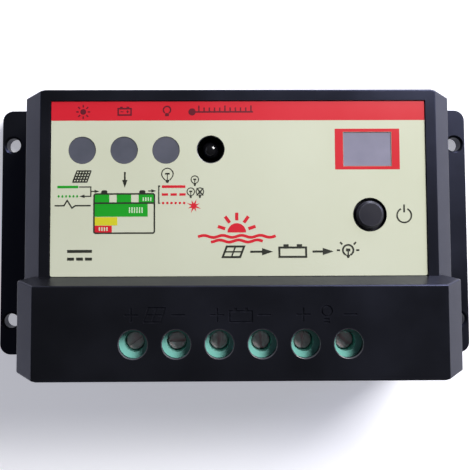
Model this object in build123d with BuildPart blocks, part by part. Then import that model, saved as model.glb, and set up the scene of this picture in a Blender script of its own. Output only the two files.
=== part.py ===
from build123d import *
import os

os.makedirs("parts", exist_ok=True)

# Frame: millimetres, +Z out of the front panel, +Y towards the top edge, +X to the right.
# The origin is the middle of the rear face, which lies on the wall.

# ---- Housing ---------------------------------------------------------------------------------
body_width = 107.8            # front housing, over its side walls
body_height = 70.5            # front housing, from top edge to wire-entry edge
rim_z = 4.0                   # parting line between rear and front housing
panel_z = 29.0                # front of the label panel
cover_rise = 6.0              # terminal cover above the panel
cover_span = 24.0             # terminal cover, from the wire-entry edge to the foot of its step
step_lean = 1.6               # how far the step leans back over its rise
wall = 2.2                    # housing wall
side_bevel_x = 4.7            # long bevels beside the panel and the cover
side_bevel_z = 4.3
corner_cut_x = 5.7            # shallow corner cuts in the plan
corner_cut_y = 1.4
edge_round = 0.45             # moulded edges

# ---- Rear housing and its mounting ears ------------------------------------------------------
ear_reach = 12.6              # each ear, beyond the body's side
ear_inset = 1.3               # the ears together are this much shorter than the body
ear_drop = 0.3                # the ears sit this much below the body's middle
ear_corner = 3.0
mount_inset_x = 3.0           # wall screws, in from the ears' ends and corners
mount_inset_y = 9.6
mount_drop = 0.5
mount_hole_radius = 2.0
mount_countersink = 0.6
floor = 2.0                   # rear housing floor
rib_height = 1.8              # rib that locates the front housing
rib_wall = 1.2
fit_gap = 0.15                # between pieces that locate each other
cut_past = 1.0                # cutters run past the faces they open

# ---- Case and board fixings ------------------------------------------------------------------
boss_inset_x = 7.3            # case screws, in from the body's sides and ends
boss_inset_y = 6.65
boss_radius = 3.6
boss_clear = 0.5
case_pilot_radius = 1.3
case_shank_radius = 1.25
case_shank_length = 12.0
case_hole_radius = 1.7
case_head_radius = 2.8
case_head_height = 1.8
case_sink_radius = 3.1
case_sink_depth = 2.2
post_inset_x = 7.9            # board posts, in from the body's sides
post_y = 14.0
post_radius = 3.0
board_screw_radius = 1.1
board_screw_length = 7.0
board_head_radius = 2.25
board_head_height = 1.6

# ---- Label and its windows -------------------------------------------------------------------
label_margin_x = 7.35         # label edge, in from the body's sides
label_margin_top = 2.9
label_sink = 0.6              # depth of the recess that takes the label
label_thickness = 0.25
label_gap = 0.15
label_corner = 0.5
window_drop = 15.15           # row of windows, below the top edge
window_inset = 15.05          # first indicator, in from the body's left side
window_pitch = 10.4
window_radius = 3.35
window_count = 3
window_depth = 1.1
window_sunk = 0.15            # windows lie this much below the label's face
window_light_radius = 2.9     # hole behind each indicator window
sensor_step = 11.1            # from the last indicator to the sensor
sensor_hole_radius = 3.5
display_inset = 21.8          # display, in from the body's right side
display_view_x = 11.85
display_view_y = 8.35
display_frame_y = 10.2        # printed frame around the display window
display_ledge = 0.5
button_shift = 0.4            # button, to the right of the display's middle
button_raise = 1.95           # button, above the middle between display and step
button_hole_radius = 4.2

# ---- Push button -----------------------------------------------------------------------------
cap_radius = 3.4
cap_proud = 0.3               # cap above the panel
cap_bevel = 0.55
cap_flange_radius = 4.9
cap_flange = 1.3
cap_hub_radius = 2.7
cap_hub = 4.0
button_travel = 0.5
plunger_radius = 1.7
plunger_fit = 0.08
plunger_grip = 1.4            # plunger inside the cap's flange
switch_width = 6.2
switch_height = 3.6
switch_well = 2.0             # blind hole that guides the plunger
switch_corner = 0.6
cap_grip_gap = 0.05           # plunger to the cap's bore

# ---- Terminals -------------------------------------------------------------------------------
terminal_count = 6
terminal_pitch = 10.16
terminal_inset = 8.75         # screw row, in from the wire-entry edge
cover_hole_radius = 3.55
block_end = 0.6               # block beyond its last cell wall
block_gap_front = 0.3         # block to housing wall
block_back = 8.9              # block behind the screw row
block_height = 18.4
block_gap_top = 1.4           # block to the inside of the cover
cell_wall = 2.16
cell_depth = 7.0
cage_gap = 0.2
cage_wall = 0.9
cage_top = 1.6
cage_floor = 1.2
cage_base_gap = 0.8           # open cage above the board
cage_travel = 3.0
recess_radius = 2.45
recess_depth = 4.1
neck = 1.1                    # web that holds the screw up
screw_radius = 1.5
screw_fit = 0.06
head_radius = 2.15
head_height = 2.0
head_bevel = 0.25
head_gap = 0.1
slot_width = 0.7
slot_depth = 0.8
slot_angles = (35, 0, 90, 95, 90, -40)
bar_thickness = 1.2           # fixed contact bar inside the cage
bar_side_gap = 0.5
bar_top_gap = 0.6             # fixed bar to the top of the open cage's window
bar_front = 3.1               # bar in front of the screw row
bar_leg = 5.3                 # bar behind the screw row, to its leg's far face
tail_shoulder = 0.9           # contact leg beside its solder tail
tail_length = 1.4             # solder tail below the board
entry_width_gap = 0.8         # wire entry narrower than its cell
entry_lip = 0.4               # entry funnel
entry_low = 0.4               # entry below and above the open cage's window
entry_high = 0.4
side_entry_radius = 1.0

# ---- Board and what stands on it -------------------------------------------------------------
board_thickness = 1.6
board_gap = 1.7               # board to housing wall
lead_radius = 0.3
lead_hole_radius = 0.45
lead_stub = 0.8               # leads below the board
led_radius = 2.5
led_rim_radius = 2.9
led_rim = 1.0
led_height = 8.6
led_gap = 0.9                 # indicator below its window
lead_pitch = 2.54
bead_radius = 2.3
bead_height = 6.4
bead_sunk = 1.3               # sensor bead below the panel's face
bead_dome = 2.25              # rounding of the bead's head
bead_foot = 0.77
display_x = 15.0
display_y = 10.0
display_height = 6.1
display_gap = 0.7
display_rows = 7.62
display_pin_count = 5
small_can_radius = 2.5
small_can_height = 11.0
main_can_radius = 5.0
can_gap = 1.3                 # main capacitors below the panel
can_bevel = 0.5
can_low_point = (9.0, 10.0)
can_sensor_step = 8.2         # second main capacitor, to the right of the sensor
can_high_y = 20.4
small_can_points = ((17.0, 11.2), (17.0, -1.6))
side_part_inset = 13.9        # outermost small parts, in from the body's sides
chip_share = 0.725            # processor, as a share of the way out to side_part_x
chip_middle_y = 3.6
chip_x = 12.8
chip_y = 7.5
chip_height = 2.3
chip_stand = 0.15
chip_lead_pitch = 1.27
chip_lead_count = 10
chip_lead_width = 0.42
chip_lead_thickness = 0.25
chip_lead_reach = 1.45
regulator_centre = (-9.0, 11.5)
regulator_x = 6.5
regulator_y = 3.5
regulator_height = 1.6
regulator_lead_pitch = 2.3
regulator_lead_count = 3
shunt_span = 10.0
shunt_radius = 0.75
shunt_arch = 3.0
shunt_x = -8.0
shunt_rows = (-5.0, -8.4)
diode_x = 4.6
diode_y = 2.6
diode_height = 2.1
diode_rows = (-5.0, -8.0, -10.6)
diode_step = 9.0
resistor_x = 2.0
resistor_y = 1.25
resistor_height = 0.5
resistor_share = 0.5          # first row of resistors, as a share of the way out to side_part_x
resistor_inner_x = -14.0
resistor_rows = (-6.2, 5.0)
chip_capacitor_height = 0.9
chip_capacitor_rows = (5.0, -1.2)
small_part_pitch = 2.4
chip_draft = 3                # moulding draft of the packages, in degrees
diode_draft = 5
small_part_count = 5

# ---- Power transistors and heat plate --------------------------------------------------------
plate_flange = 1.5            # heat plate inside the rear housing
plate_inset_x = 13.9          # opening in the rear housing, in from the body's sides and ends
plate_inset_y = 12.25
plate_lap = 3.0               # flange beyond the opening
plate_corner = 2.0
plate_gap = 0.15
stake_radius = 1.0            # moulded pins that hold the plate
stake_head_radius = 1.7
stake_head = 0.6
stake_x = 30.0
stake_inset = 1.5
pad_thickness = 0.3
pad_margin = 1.0
mosfet_count = 4
mosfet_pitch = 16.0
mosfet_x = 10.0
mosfet_body_y = 9.0
mosfet_body_z = 4.4
mosfet_tab_y = 6.3
mosfet_tab_z = 1.3
mosfet_hole_radius = 1.8
mosfet_low_y = 0.0
mosfet_lead_z = 2.65
mosfet_lead_run = 2.75
mosfet_lead_width = 0.8
mosfet_lead_thickness = 0.5
clamp_thickness = 1.0
clamp_width = 7.0
clamp_end = 1.0
clamp_screw_radius = 1.5
clamp_screw_fit = 0.05
clamp_screw_floor = 0.6       # metal left under the tapped holes
clamp_head_radius = 2.75
clamp_head_height = 1.8
access_radius = 3.3           # driver access through the board

# ---- Moulded symbols on the terminal cover ---------------------------------------------------
symbol_rise = 6.85            # symbols above the screw row
symbol_spread = 5.55          # plus and minus, either side of the pair's middle
symbol_size = 3.3
symbol_line = 0.42
symbol_depth = 0.25
symbol_slant = 1.1
panel_mark_width = 4.3
panel_mark_step = 2.0
battery_mark_width = 5.3
battery_mark_height = 2.5
battery_post = 0.85
lamp_mark_radius = 1.4
lamp_mark_step = 0.7

# ---- Places worked out from the sizes above --------------------------------------------------
half_width = body_width / 2
ear_width = body_width + 2 * ear_reach
ear_height = body_height - ear_inset
mount_spacing_x = ear_width - 2 * mount_inset_x
mount_spacing_y = ear_height - 2 * mount_inset_y
body_top = body_height / 2
body_bottom = -body_height / 2
cover_z = panel_z + cover_rise
step_y = body_bottom + cover_span
step_slope = step_lean / cover_rise
cover_top = step_y + corner_cut_y / 2
panel_in = panel_z - wall
cover_in = cover_z - wall
cavity_x = half_width - wall
cavity_y = body_top - wall

label_floor_z = panel_z - label_sink
label_face_z = label_floor_z + label_thickness
label_x = half_width - label_margin_x
label_top = body_top - label_margin_top
label_height = label_top - step_y

window_y = body_top - window_drop
window_xs = [-half_width + window_inset + i * window_pitch for i in range(window_count)]
window_points = [(x, window_y) for x in window_xs]
window_face_z = label_face_z - window_sunk
window_back_z = window_face_z - window_depth
sensor_point = (window_xs[-1] + sensor_step, window_y + fit_gap)
display_point = (half_width - display_inset, window_y + fit_gap)
button_y = (display_point[1] - display_frame_y / 2 + step_y) / 2 + button_raise
button_point = (display_point[0] + button_shift, button_y)

boss_x = half_width - boss_inset_x
boss_y = body_top - boss_inset_y
upper_bosses = [(-boss_x, boss_y), (boss_x, boss_y)]
lower_bosses = [(-boss_x, -boss_y), (boss_x, -boss_y)]
post_x = half_width - post_inset_x

block_top = cover_in - block_gap_top
board_top = block_top - block_height
board_z = board_top - board_thickness
board_x = cavity_x - board_gap
board_y = cavity_y - board_gap + fit_gap
lead_end_z = board_z - lead_stub

terminal_y = body_bottom + terminal_inset
terminal_xs = [(i - (terminal_count - 1) / 2) * terminal_pitch for i in range(terminal_count)]
terminal_points = [(x, terminal_y) for x in terminal_xs]
pair_middles = [(terminal_xs[i] + terminal_xs[i + 1]) / 2 for i in range(0, terminal_count, 2)]
tail_y = terminal_y + bar_leg - bar_thickness / 2
block_width = terminal_count * terminal_pitch + 2 * block_end
block_front_y = body_bottom + wall + block_gap_front
block_back_y = terminal_y + block_back
cell_width = terminal_pitch - cell_wall
recess_z = block_top - recess_depth
neck_z = recess_z - neck
cage_width = cell_width - 2 * cage_gap
cage_depth = cell_depth - 2 * cage_gap
cage_high_z = neck_z - cage_gap - cage_travel
cage_low_z = board_top + cage_base_gap
cage_window_low = cage_low_z + cage_floor
cage_window_high = cage_high_z - cage_top
cage_window_x = cage_width - 2 * cage_wall
bar_high_z = cage_window_high - bar_top_gap
bar_low_z = bar_high_z - bar_thickness
bar_width = cage_window_x - 2 * bar_side_gap
tail_width = bar_width - 2 * tail_shoulder
head_low_z = recess_z + head_gap
head_high_z = head_low_z + head_height
screw_tip_z = bar_high_z + head_gap
entry_low_z = cage_window_low - entry_low
entry_high_z = bar_low_z + entry_high
entry_width = cell_width - 2 * entry_width_gap

plate_z = floor + plate_flange
plate_window_x = body_width - 2 * plate_inset_x
plate_window_y = body_height - 2 * plate_inset_y
plate_x = plate_window_x + 2 * plate_lap
plate_y = plate_window_y + 2 * plate_lap
stake_y = plate_y / 2 - stake_inset
mosfet_z = plate_z + pad_thickness
mosfet_xs = [(i - (mosfet_count - 1) / 2) * mosfet_pitch for i in range(mosfet_count)]
mosfet_high_y = mosfet_low_y + mosfet_body_y
mosfet_tab_end = mosfet_high_y + mosfet_tab_y
mosfet_row = (mosfet_count - 1) * mosfet_pitch + mosfet_x
clamp_z = mosfet_z + mosfet_body_z
clamp_y = mosfet_low_y + mosfet_body_y / 2
clamp_xs = [x + mosfet_pitch / 2 for x in mosfet_xs[:-1]]
clamp_points = [(x, clamp_y) for x in clamp_xs]
mosfet_lead_y = mosfet_low_y - mosfet_lead_run
mosfet_lead_points = [
    (x + k * lead_pitch, mosfet_lead_y) for x in mosfet_xs for k in (-1, 0, 1)
]

led_top_z = window_back_z - led_gap
led_base_z = led_top_z - led_height
led_lead_points = [(x + s * lead_pitch / 2, y) for x, y in window_points for s in (-1, 1)]
sensor_lead_points = [(sensor_point[0] + s * lead_pitch / 2, sensor_point[1]) for s in (-1, 1)]
display_top_z = panel_in - display_gap
display_pin_start = display_point[0] - (display_pin_count - 1) / 2 * lead_pitch
display_pin_xs = [display_pin_start + k * lead_pitch for k in range(display_pin_count)]
display_pin_points = [(x, display_point[1] + s * display_rows / 2) for x in display_pin_xs for s in (-1, 1)]
can_points = [can_low_point, (sensor_point[0] + can_sensor_step, can_high_y)]
can_lead_points = [(x + s * lead_pitch, y) for x, y in can_points for s in (-1, 1)]
small_can_lead_points = [(x + s * lead_pitch / 2, y) for x, y in small_can_points for s in (-1, 1)]
shunt_lead_points = [(shunt_x + s * shunt_span / 2, y) for y in shunt_rows for s in (-1, 1)]
side_part_x = half_width - side_part_inset
diode_points = [
    (-side_part_x, diode_rows[0]), (-side_part_x + diode_step, diode_rows[1]),
    (side_part_x, diode_rows[2]),
]
chip_centre = (-chip_share * side_part_x, chip_middle_y)
chip_part_rows = {
    "chip_resistors": [
        (-resistor_share * side_part_x, resistor_rows[0]), (resistor_inner_x, resistor_rows[1]),
    ],
    "chip_capacitors": [(-side_part_x, chip_capacitor_rows[0]), (side_part_x, chip_capacitor_rows[1])],
}


# ---- Housings --------------------------------------------------------------------------------
def housing_block(front_z, top_y, leaning, inset):
    """Bevelled block from the rim to front_z, with cut corners. inset shrinks it, for the cavity."""
    low_z = rim_z - (inset + cut_past if inset else 0.0)
    flat_x = half_width - side_bevel_x
    bevel_z = front_z - side_bevel_z
    with BuildPart() as block:
        with BuildSketch(Plane.XZ.offset(-top_y)):
            with BuildLine():
                Polyline(
                    (-half_width, low_z), (-half_width, bevel_z), (-flat_x, front_z),
                    (flat_x, front_z), (half_width, bevel_z), (half_width, low_z), close=True,
                )
            make_face()
            if inset:
                offset(amount=-inset, kind=Kind.INTERSECTION)
        extrude(amount=top_y - body_bottom)
        cut_x = half_width - corner_cut_x
        with BuildSketch(Plane.XY):
            with BuildLine():
                Polyline(
                    (-half_width, body_bottom + corner_cut_y), (-half_width, top_y - corner_cut_y),
                    (-cut_x, top_y), (cut_x, top_y), (half_width, top_y - corner_cut_y),
                    (half_width, body_bottom + corner_cut_y), (cut_x, body_bottom),
                    (-cut_x, body_bottom), close=True,
                )
            make_face()
            if inset:
                offset(amount=-inset, kind=Kind.INTERSECTION)
        extrude(amount=front_z, mode=Mode.INTERSECT)
        if leaning:
            with BuildSketch(Plane.YZ):
                with BuildLine():
                    Polyline(
                        (body_bottom, low_z), (body_bottom, front_z), (step_y - step_lean, front_z),
                        (step_y + step_slope * (panel_z - low_z), low_z), close=True,
                    )
                make_face()
                if inset:
                    offset(amount=-inset, kind=Kind.INTERSECTION)
            extrude(amount=half_width, both=True, mode=Mode.INTERSECT)
        if not inset:
            moulded = block.edges().filter_by(lambda edge: edge.center().Z > rim_z + edge_round)
            fillet(moulded, edge_round)
    return block.part


with BuildPart() as front_housing:
    add(housing_block(panel_z, body_top, False, 0.0))
    add(housing_block(cover_z, cover_top, True, 0.0))
    add(housing_block(panel_z, body_top, False, wall), mode=Mode.SUBTRACT)
    add(housing_block(cover_z, cover_top, True, wall), mode=Mode.SUBTRACT)
    # screw bosses, up to the inside of the panel and of the cover
    with BuildSketch(Plane.XY.offset(rim_z)):
        with Locations(*upper_bosses):
            Circle(boss_radius)
    extrude(amount=panel_in + fit_gap - rim_z)
    with BuildSketch(Plane.XY.offset(rim_z)):
        with Locations(*lower_bosses):
            Circle(boss_radius)
    extrude(amount=cover_in + fit_gap - rim_z)
    with BuildSketch(Plane.XY.offset(rim_z)):
        with Locations(*upper_bosses, *lower_bosses):
            Circle(case_pilot_radius)
    extrude(amount=case_shank_length, mode=Mode.SUBTRACT)
    # label recess
    with BuildSketch(Plane.XY.offset(label_floor_z)):
        with Locations((0, step_y + (label_height + label_gap) / 2)):
            Rectangle(2 * (label_x + label_gap), label_height + label_gap)
    extrude(amount=label_sink, mode=Mode.SUBTRACT)
    # seats of the indicator windows and of the display window, and the openings behind them
    with BuildSketch(Plane.XY.offset(window_back_z)):
        with Locations(*window_points):
            Circle(window_radius + fit_gap / 2)
        with Locations(display_point):
            Rectangle(display_view_x + fit_gap, display_view_y + fit_gap)
    extrude(amount=panel_z - window_back_z, mode=Mode.SUBTRACT)
    with BuildSketch(Plane.XY.offset(panel_in - wall)):
        with Locations(*window_points):
            Circle(window_light_radius)
        with Locations(display_point):
            Rectangle(display_view_x - 2 * display_ledge, display_view_y - 2 * display_ledge)
        with Locations(sensor_point):
            Circle(sensor_hole_radius)
        with Locations(button_point):
            Circle(button_hole_radius)
    extrude(amount=2 * wall, mode=Mode.SUBTRACT)
    # driver holes through the terminal cover
    with BuildSketch(Plane.XY.offset(cover_in - wall)):
        with Locations(*terminal_points):
            Circle(cover_hole_radius)
    extrude(amount=2 * wall, mode=Mode.SUBTRACT)
    # wire entries through the lower wall
    with BuildSketch(Plane.XZ.offset(-body_bottom)):
        with Locations(*[(x, (cage_low_z + bar_high_z) / 2) for x in terminal_xs]):
            RectangleRounded(cell_width, bar_high_z - cage_low_z + side_entry_radius, side_entry_radius)
    extrude(amount=-wall - fit_gap, mode=Mode.SUBTRACT)
    # moulded symbols: plus, source, minus for each pair of terminals
    symbol_y = terminal_y + symbol_rise
    with BuildSketch(Plane.XY.offset(cover_z)):
        for middle in pair_middles:
            with Locations((middle - symbol_spread, symbol_y)):
                Rectangle(symbol_size, symbol_line)
                Rectangle(symbol_line, symbol_size)
            with Locations((middle + symbol_spread, symbol_y)):
                Rectangle(symbol_size, symbol_line)
        # sun side: a slanted solar panel
        panel_mark = pair_middles[0]
        for row in (-1, 0, 1):
            shift = row * symbol_slant / 2
            with Locations((panel_mark + shift, symbol_y + row * symbol_size / 2)):
                Rectangle(panel_mark_width, symbol_line)
        for column in (-1, 0, 1):
            with BuildLine():
                bar_x = panel_mark + column * panel_mark_step
                Line(
                    (bar_x - symbol_slant / 2, symbol_y - symbol_size / 2),
                    (bar_x + symbol_slant / 2, symbol_y + symbol_size / 2),
                )
            trace(line_width=symbol_line)
        # middle: a battery
        battery_mark = pair_middles[1]
        battery_low = symbol_y - symbol_size / 2
        battery_high = battery_low + battery_mark_height
        battery_left = battery_mark - battery_mark_width / 2
        battery_right = battery_mark + battery_mark_width / 2
        with BuildLine():
            Polyline(
                (battery_left, battery_low), (battery_right, battery_low),
                (battery_right, battery_high), (battery_left, battery_high), close=True,
            )
        trace(line_width=symbol_line)
        with Locations((battery_mark, battery_high + battery_post / 2)):
            with GridLocations(battery_mark_width / 2, 0, 2, 1):
                Rectangle(battery_post, battery_post)
        # load side: a lamp
        lamp_mark = pair_middles[2]
        with Locations((lamp_mark, symbol_y + symbol_size / 4)):
            Circle(lamp_mark_radius)
            Circle(lamp_mark_radius - symbol_line, mode=Mode.SUBTRACT)
        for row in (0, 1):
            with Locations((lamp_mark, symbol_y - symbol_size / 3 - row * lamp_mark_step)):
                Rectangle(lamp_mark_radius, symbol_line)
    extrude(amount=-symbol_depth, mode=Mode.SUBTRACT)
front_housing.part.label = "front_housing"
export_step(front_housing.part, "parts/front_housing.step")


with BuildPart() as rear_housing:
    with BuildSketch(Plane.XY):
        with Locations((0, -ear_drop)):
            RectangleRounded(ear_width, ear_height, ear_corner)
    extrude(amount=rim_z)
    # locating rib, inside the front housing's wall
    with BuildSketch(Plane.XY.offset(rim_z)):
        Rectangle(2 * (cavity_x - fit_gap), 2 * (cavity_y - fit_gap) - 2 * corner_cut_y)
    extrude(amount=rib_height)
    with BuildSketch(Plane.XY.offset(floor)):
        Rectangle(2 * (cavity_x - fit_gap - rib_wall), 2 * (cavity_y - fit_gap - corner_cut_y - rib_wall))
    extrude(amount=rim_z + rib_height, mode=Mode.SUBTRACT)
    # pads under the case screws, clear of the front housing's bosses
    with BuildSketch(Plane.XY.offset(rim_z)):
        with Locations(*upper_bosses, *lower_bosses):
            Circle(boss_radius + boss_clear)
    extrude(amount=rib_height, mode=Mode.SUBTRACT)
    with BuildSketch(Plane.XY):
        with Locations(*upper_bosses, *lower_bosses):
            Circle(boss_radius + boss_clear)
    extrude(amount=rim_z)
    # board posts
    with BuildSketch(Plane.XY):
        with GridLocations(2 * post_x, 2 * post_y, 2, 2):
            Circle(post_radius)
    extrude(amount=board_z)
    with BuildSketch(Plane.XY.offset(board_z)):
        with GridLocations(2 * post_x, 2 * post_y, 2, 2):
            Circle(board_screw_radius + fit_gap / 2)
    extrude(amount=-board_screw_length, mode=Mode.SUBTRACT)
    # opening for the heat plate
    with BuildSketch(Plane.XY):
        RectangleRounded(plate_window_x, plate_window_y, plate_corner)
    extrude(amount=rim_z, mode=Mode.SUBTRACT)
    # moulded pins that pass through the heat plate and are pressed over
    with BuildSketch(Plane.XY.offset(floor)):
        with GridLocations(2 * stake_x, 2 * stake_y, 2, 2):
            Circle(stake_radius)
    extrude(amount=plate_flange)
    with BuildSketch(Plane.XY.offset(plate_z)):
        with GridLocations(2 * stake_x, 2 * stake_y, 2, 2):
            Circle(stake_head_radius)
    extrude(amount=stake_head)
    # case screws enter from behind
    with BuildSketch(Plane.XY):
        with Locations(*upper_bosses, *lower_bosses):
            Circle(case_hole_radius)
    extrude(amount=rim_z, mode=Mode.SUBTRACT)
    with BuildSketch(Plane.XY):
        with Locations(*upper_bosses, *lower_bosses):
            Circle(case_sink_radius)
    extrude(amount=case_sink_depth, mode=Mode.SUBTRACT)
    # wall-mounting holes, countersunk from the front
    with Locations((0, -mount_drop, rim_z)):
        with GridLocations(mount_spacing_x, mount_spacing_y, 2, 2):
            CounterSinkHole(mount_hole_radius, mount_hole_radius + mount_countersink, counter_sink_angle=90)
rear_housing.part.label = "rear_housing"
export_step(rear_housing.part, "parts/rear_housing.step")


# ---- Label and windows -----------------------------------------------------------------------
with BuildPart() as label:
    with BuildSketch(Plane.XY.offset(label_floor_z)):
        with Locations((0, step_y + label_gap / 2 + label_height / 2)):
            RectangleRounded(2 * label_x, label_height - label_gap, label_corner)
        with Locations(*window_points):
            Circle(window_radius + fit_gap / 2, mode=Mode.SUBTRACT)
        with Locations(sensor_point):
            Circle(sensor_hole_radius, mode=Mode.SUBTRACT)
        with Locations(display_point):
            Rectangle(display_view_x + fit_gap, display_view_y + fit_gap, mode=Mode.SUBTRACT)
        with Locations(button_point):
            Circle(button_hole_radius, mode=Mode.SUBTRACT)
    extrude(amount=label_thickness)
label.part.label = "label"
export_step(label.part, "parts/label.step")

with BuildPart() as indicator_windows:
    with BuildSketch(Plane.XY.offset(window_back_z)):
        with Locations(*window_points):
            Circle(window_radius)
    extrude(amount=window_depth)
indicator_windows.part.label = "indicator_windows"
export_step(indicator_windows.part, "parts/indicator_windows.step")

with BuildPart() as display_window:
    with BuildSketch(Plane.XY.offset(window_back_z)):
        with Locations(display_point):
            Rectangle(display_view_x, display_view_y)
    extrude(amount=window_depth)
display_window.part.label = "display_window"
export_step(display_window.part, "parts/display_window.step")


# ---- Push button -----------------------------------------------------------------------------
flange_high_z = panel_in - fit_gap
flange_low_z = flange_high_z - cap_flange
hub_low_z = flange_low_z - cap_hub
plunger_high_z = flange_low_z + plunger_grip - fit_gap
with BuildPart() as button_cap:
    with BuildSketch(Plane.XY.offset(flange_low_z)):
        with Locations(button_point):
            Circle(cap_radius)
    extrude(amount=panel_z + cap_proud - flange_low_z)
    chamfer(button_cap.faces().sort_by(Axis.Z)[-1].edges(), cap_bevel)
    with BuildSketch(Plane.XY.offset(flange_low_z)):
        with Locations(button_point):
            Circle(cap_flange_radius)
    extrude(amount=cap_flange)
    with BuildSketch(Plane.XY.offset(hub_low_z)):
        with Locations(button_point):
            Circle(cap_hub_radius)
    extrude(amount=cap_hub)
    with BuildSketch(Plane.XY.offset(hub_low_z)):
        with Locations(button_point):
            Circle(plunger_radius + cap_grip_gap)
    extrude(amount=cap_hub + plunger_grip, mode=Mode.SUBTRACT)
button_cap.part.label = "button_cap"
export_step(button_cap.part, "parts/button_cap.step")

switch_top = board_top + switch_height
well_z = switch_top - switch_well
with BuildPart() as switch_body:
    with BuildSketch(Plane.XY.offset(board_top)):
        with Locations(button_point):
            Rectangle(switch_width, switch_width)
    extrude(amount=switch_height)
    chamfer(switch_body.edges().filter_by(Axis.Z), switch_corner)
    with BuildSketch(Plane.XY.offset(well_z)):
        with Locations(button_point):
            Circle(plunger_radius + plunger_fit)
    extrude(amount=switch_well, mode=Mode.SUBTRACT)
switch_body.part.label = "switch_body"
export_step(switch_body.part, "parts/switch_body.step")

with BuildPart() as switch_plunger:
    with BuildSketch(Plane.XY.offset(well_z + button_travel + fit_gap)):
        with Locations(button_point):
            Circle(plunger_radius)
    extrude(amount=plunger_high_z - well_z - button_travel - fit_gap)
switch_plunger.part.label = "switch_plunger"
export_step(switch_plunger.part, "parts/switch_plunger.step")


# ---- Terminals -------------------------------------------------------------------------------
with BuildPart() as terminal_block:
    with BuildSketch(Plane.XY.offset(board_top)):
        with Locations((0, (block_front_y + block_back_y) / 2)):
            Rectangle(block_width, block_back_y - block_front_y)
    extrude(amount=block_height)
    chamfer(terminal_block.faces().sort_by(Axis.Z)[-1].edges(), entry_lip)
    # cells for the cages, open to the board
    with BuildSketch(Plane.XY.offset(board_top)):
        with Locations(*terminal_points):
            Rectangle(cell_width, cell_depth)
    extrude(amount=neck_z - board_top, mode=Mode.SUBTRACT)
    # slots for the contact legs
    leg_slot_low = terminal_y + cell_depth / 2
    leg_slot_high = terminal_y + bar_leg + cage_gap
    with BuildSketch(Plane.XY.offset(board_top)):
        with Locations(*[(x, (leg_slot_low + leg_slot_high) / 2) for x in terminal_xs]):
            Rectangle(bar_width + 2 * cage_gap, leg_slot_high - leg_slot_low)
    extrude(amount=bar_high_z + cage_gap - board_top, mode=Mode.SUBTRACT)
    # driver recesses and screw necks
    with BuildSketch(Plane.XY.offset(recess_z)):
        with Locations(*terminal_points):
            Circle(recess_radius)
    extrude(amount=recess_depth, mode=Mode.SUBTRACT)
    with BuildSketch(Plane.XY.offset(neck_z)):
        with Locations(*terminal_points):
            Circle(screw_radius + screw_fit)
    extrude(amount=neck, mode=Mode.SUBTRACT)
    # wire entries with a funnelled mouth
    with BuildSketch(Plane.XZ.offset(-block_front_y)):
        with Locations(*[(x, (entry_low_z + entry_high_z) / 2) for x in terminal_xs]):
            Rectangle(entry_width, entry_high_z - entry_low_z)
    extrude(amount=-(terminal_y - cell_depth / 2 - block_front_y), mode=Mode.SUBTRACT)
    front_face = terminal_block.faces().sort_by(Axis.Y)[0]
    mouths = [edge for wire in front_face.inner_wires() for edge in wire.edges()]
    chamfer(mouths, entry_lip)
terminal_block.part.label = "terminal_block"
export_step(terminal_block.part, "parts/terminal_block.step")

with BuildPart() as terminal_contacts:
    for x in terminal_xs:
        with BuildSketch(Plane.YZ.offset(x)):
            with BuildLine():
                Polyline(
                    (terminal_y - bar_front, bar_low_z), (terminal_y - bar_front, bar_high_z),
                    (terminal_y + bar_leg, bar_high_z), (terminal_y + bar_leg, board_top),
                    (terminal_y + bar_leg - bar_thickness, board_top),
                    (terminal_y + bar_leg - bar_thickness, bar_low_z), close=True,
                )
            make_face()
        extrude(amount=bar_width / 2, both=True)
        with BuildSketch(Plane.XY.offset(board_top)):
            with Locations((x, tail_y)):
                Rectangle(tail_width, bar_thickness)
        extrude(amount=-(board_thickness + tail_length))
terminal_contacts.part.label = "terminal_contacts"
export_step(terminal_contacts.part, "parts/terminal_contacts.step")

for number, (x, angle) in enumerate(zip(terminal_xs, slot_angles), start=1):
    with BuildPart() as terminal_screw:
        with BuildSketch(Plane.XY.offset(head_low_z)):
            with Locations((x, terminal_y)):
                Circle(head_radius)
        extrude(amount=head_height)
        chamfer(terminal_screw.faces().sort_by(Axis.Z)[-1].edges(), head_bevel)
        with BuildSketch(Plane.XY.offset(screw_tip_z)):
            with Locations((x, terminal_y)):
                Circle(screw_radius)
        extrude(amount=head_low_z - screw_tip_z)
        with BuildSketch(Plane.XY.offset(head_high_z)):
            with Locations((x, terminal_y)):
                Rectangle(2 * (head_radius + cut_past), slot_width, rotation=angle)
        extrude(amount=-slot_depth, mode=Mode.SUBTRACT)
    terminal_screw.part.label = f"terminal_screw_{number}"
    export_step(terminal_screw.part, f"parts/terminal_screw_{number}.step")

    with BuildPart() as terminal_cage:
        with BuildSketch(Plane.XY.offset(cage_low_z)):
            with Locations((x, terminal_y)):
                Rectangle(cage_width, cage_depth)
        extrude(amount=cage_high_z - cage_low_z)
        chamfer(terminal_cage.edges().filter_by(Axis.Z), cage_gap)
        with BuildSketch(Plane.XZ.offset(-terminal_y)):
            with Locations((x, (cage_window_low + cage_window_high) / 2)):
                Rectangle(cage_window_x, cage_window_high - cage_window_low)
        extrude(amount=cage_depth, both=True, mode=Mode.SUBTRACT)
        with BuildSketch(Plane.XY.offset(cage_window_high)):
            with Locations((x, terminal_y)):
                Circle(screw_radius + screw_fit)
        extrude(amount=cage_top, mode=Mode.SUBTRACT)
    terminal_cage.part.label = f"terminal_cage_{number}"
    export_step(terminal_cage.part, f"parts/terminal_cage_{number}.step")


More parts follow.
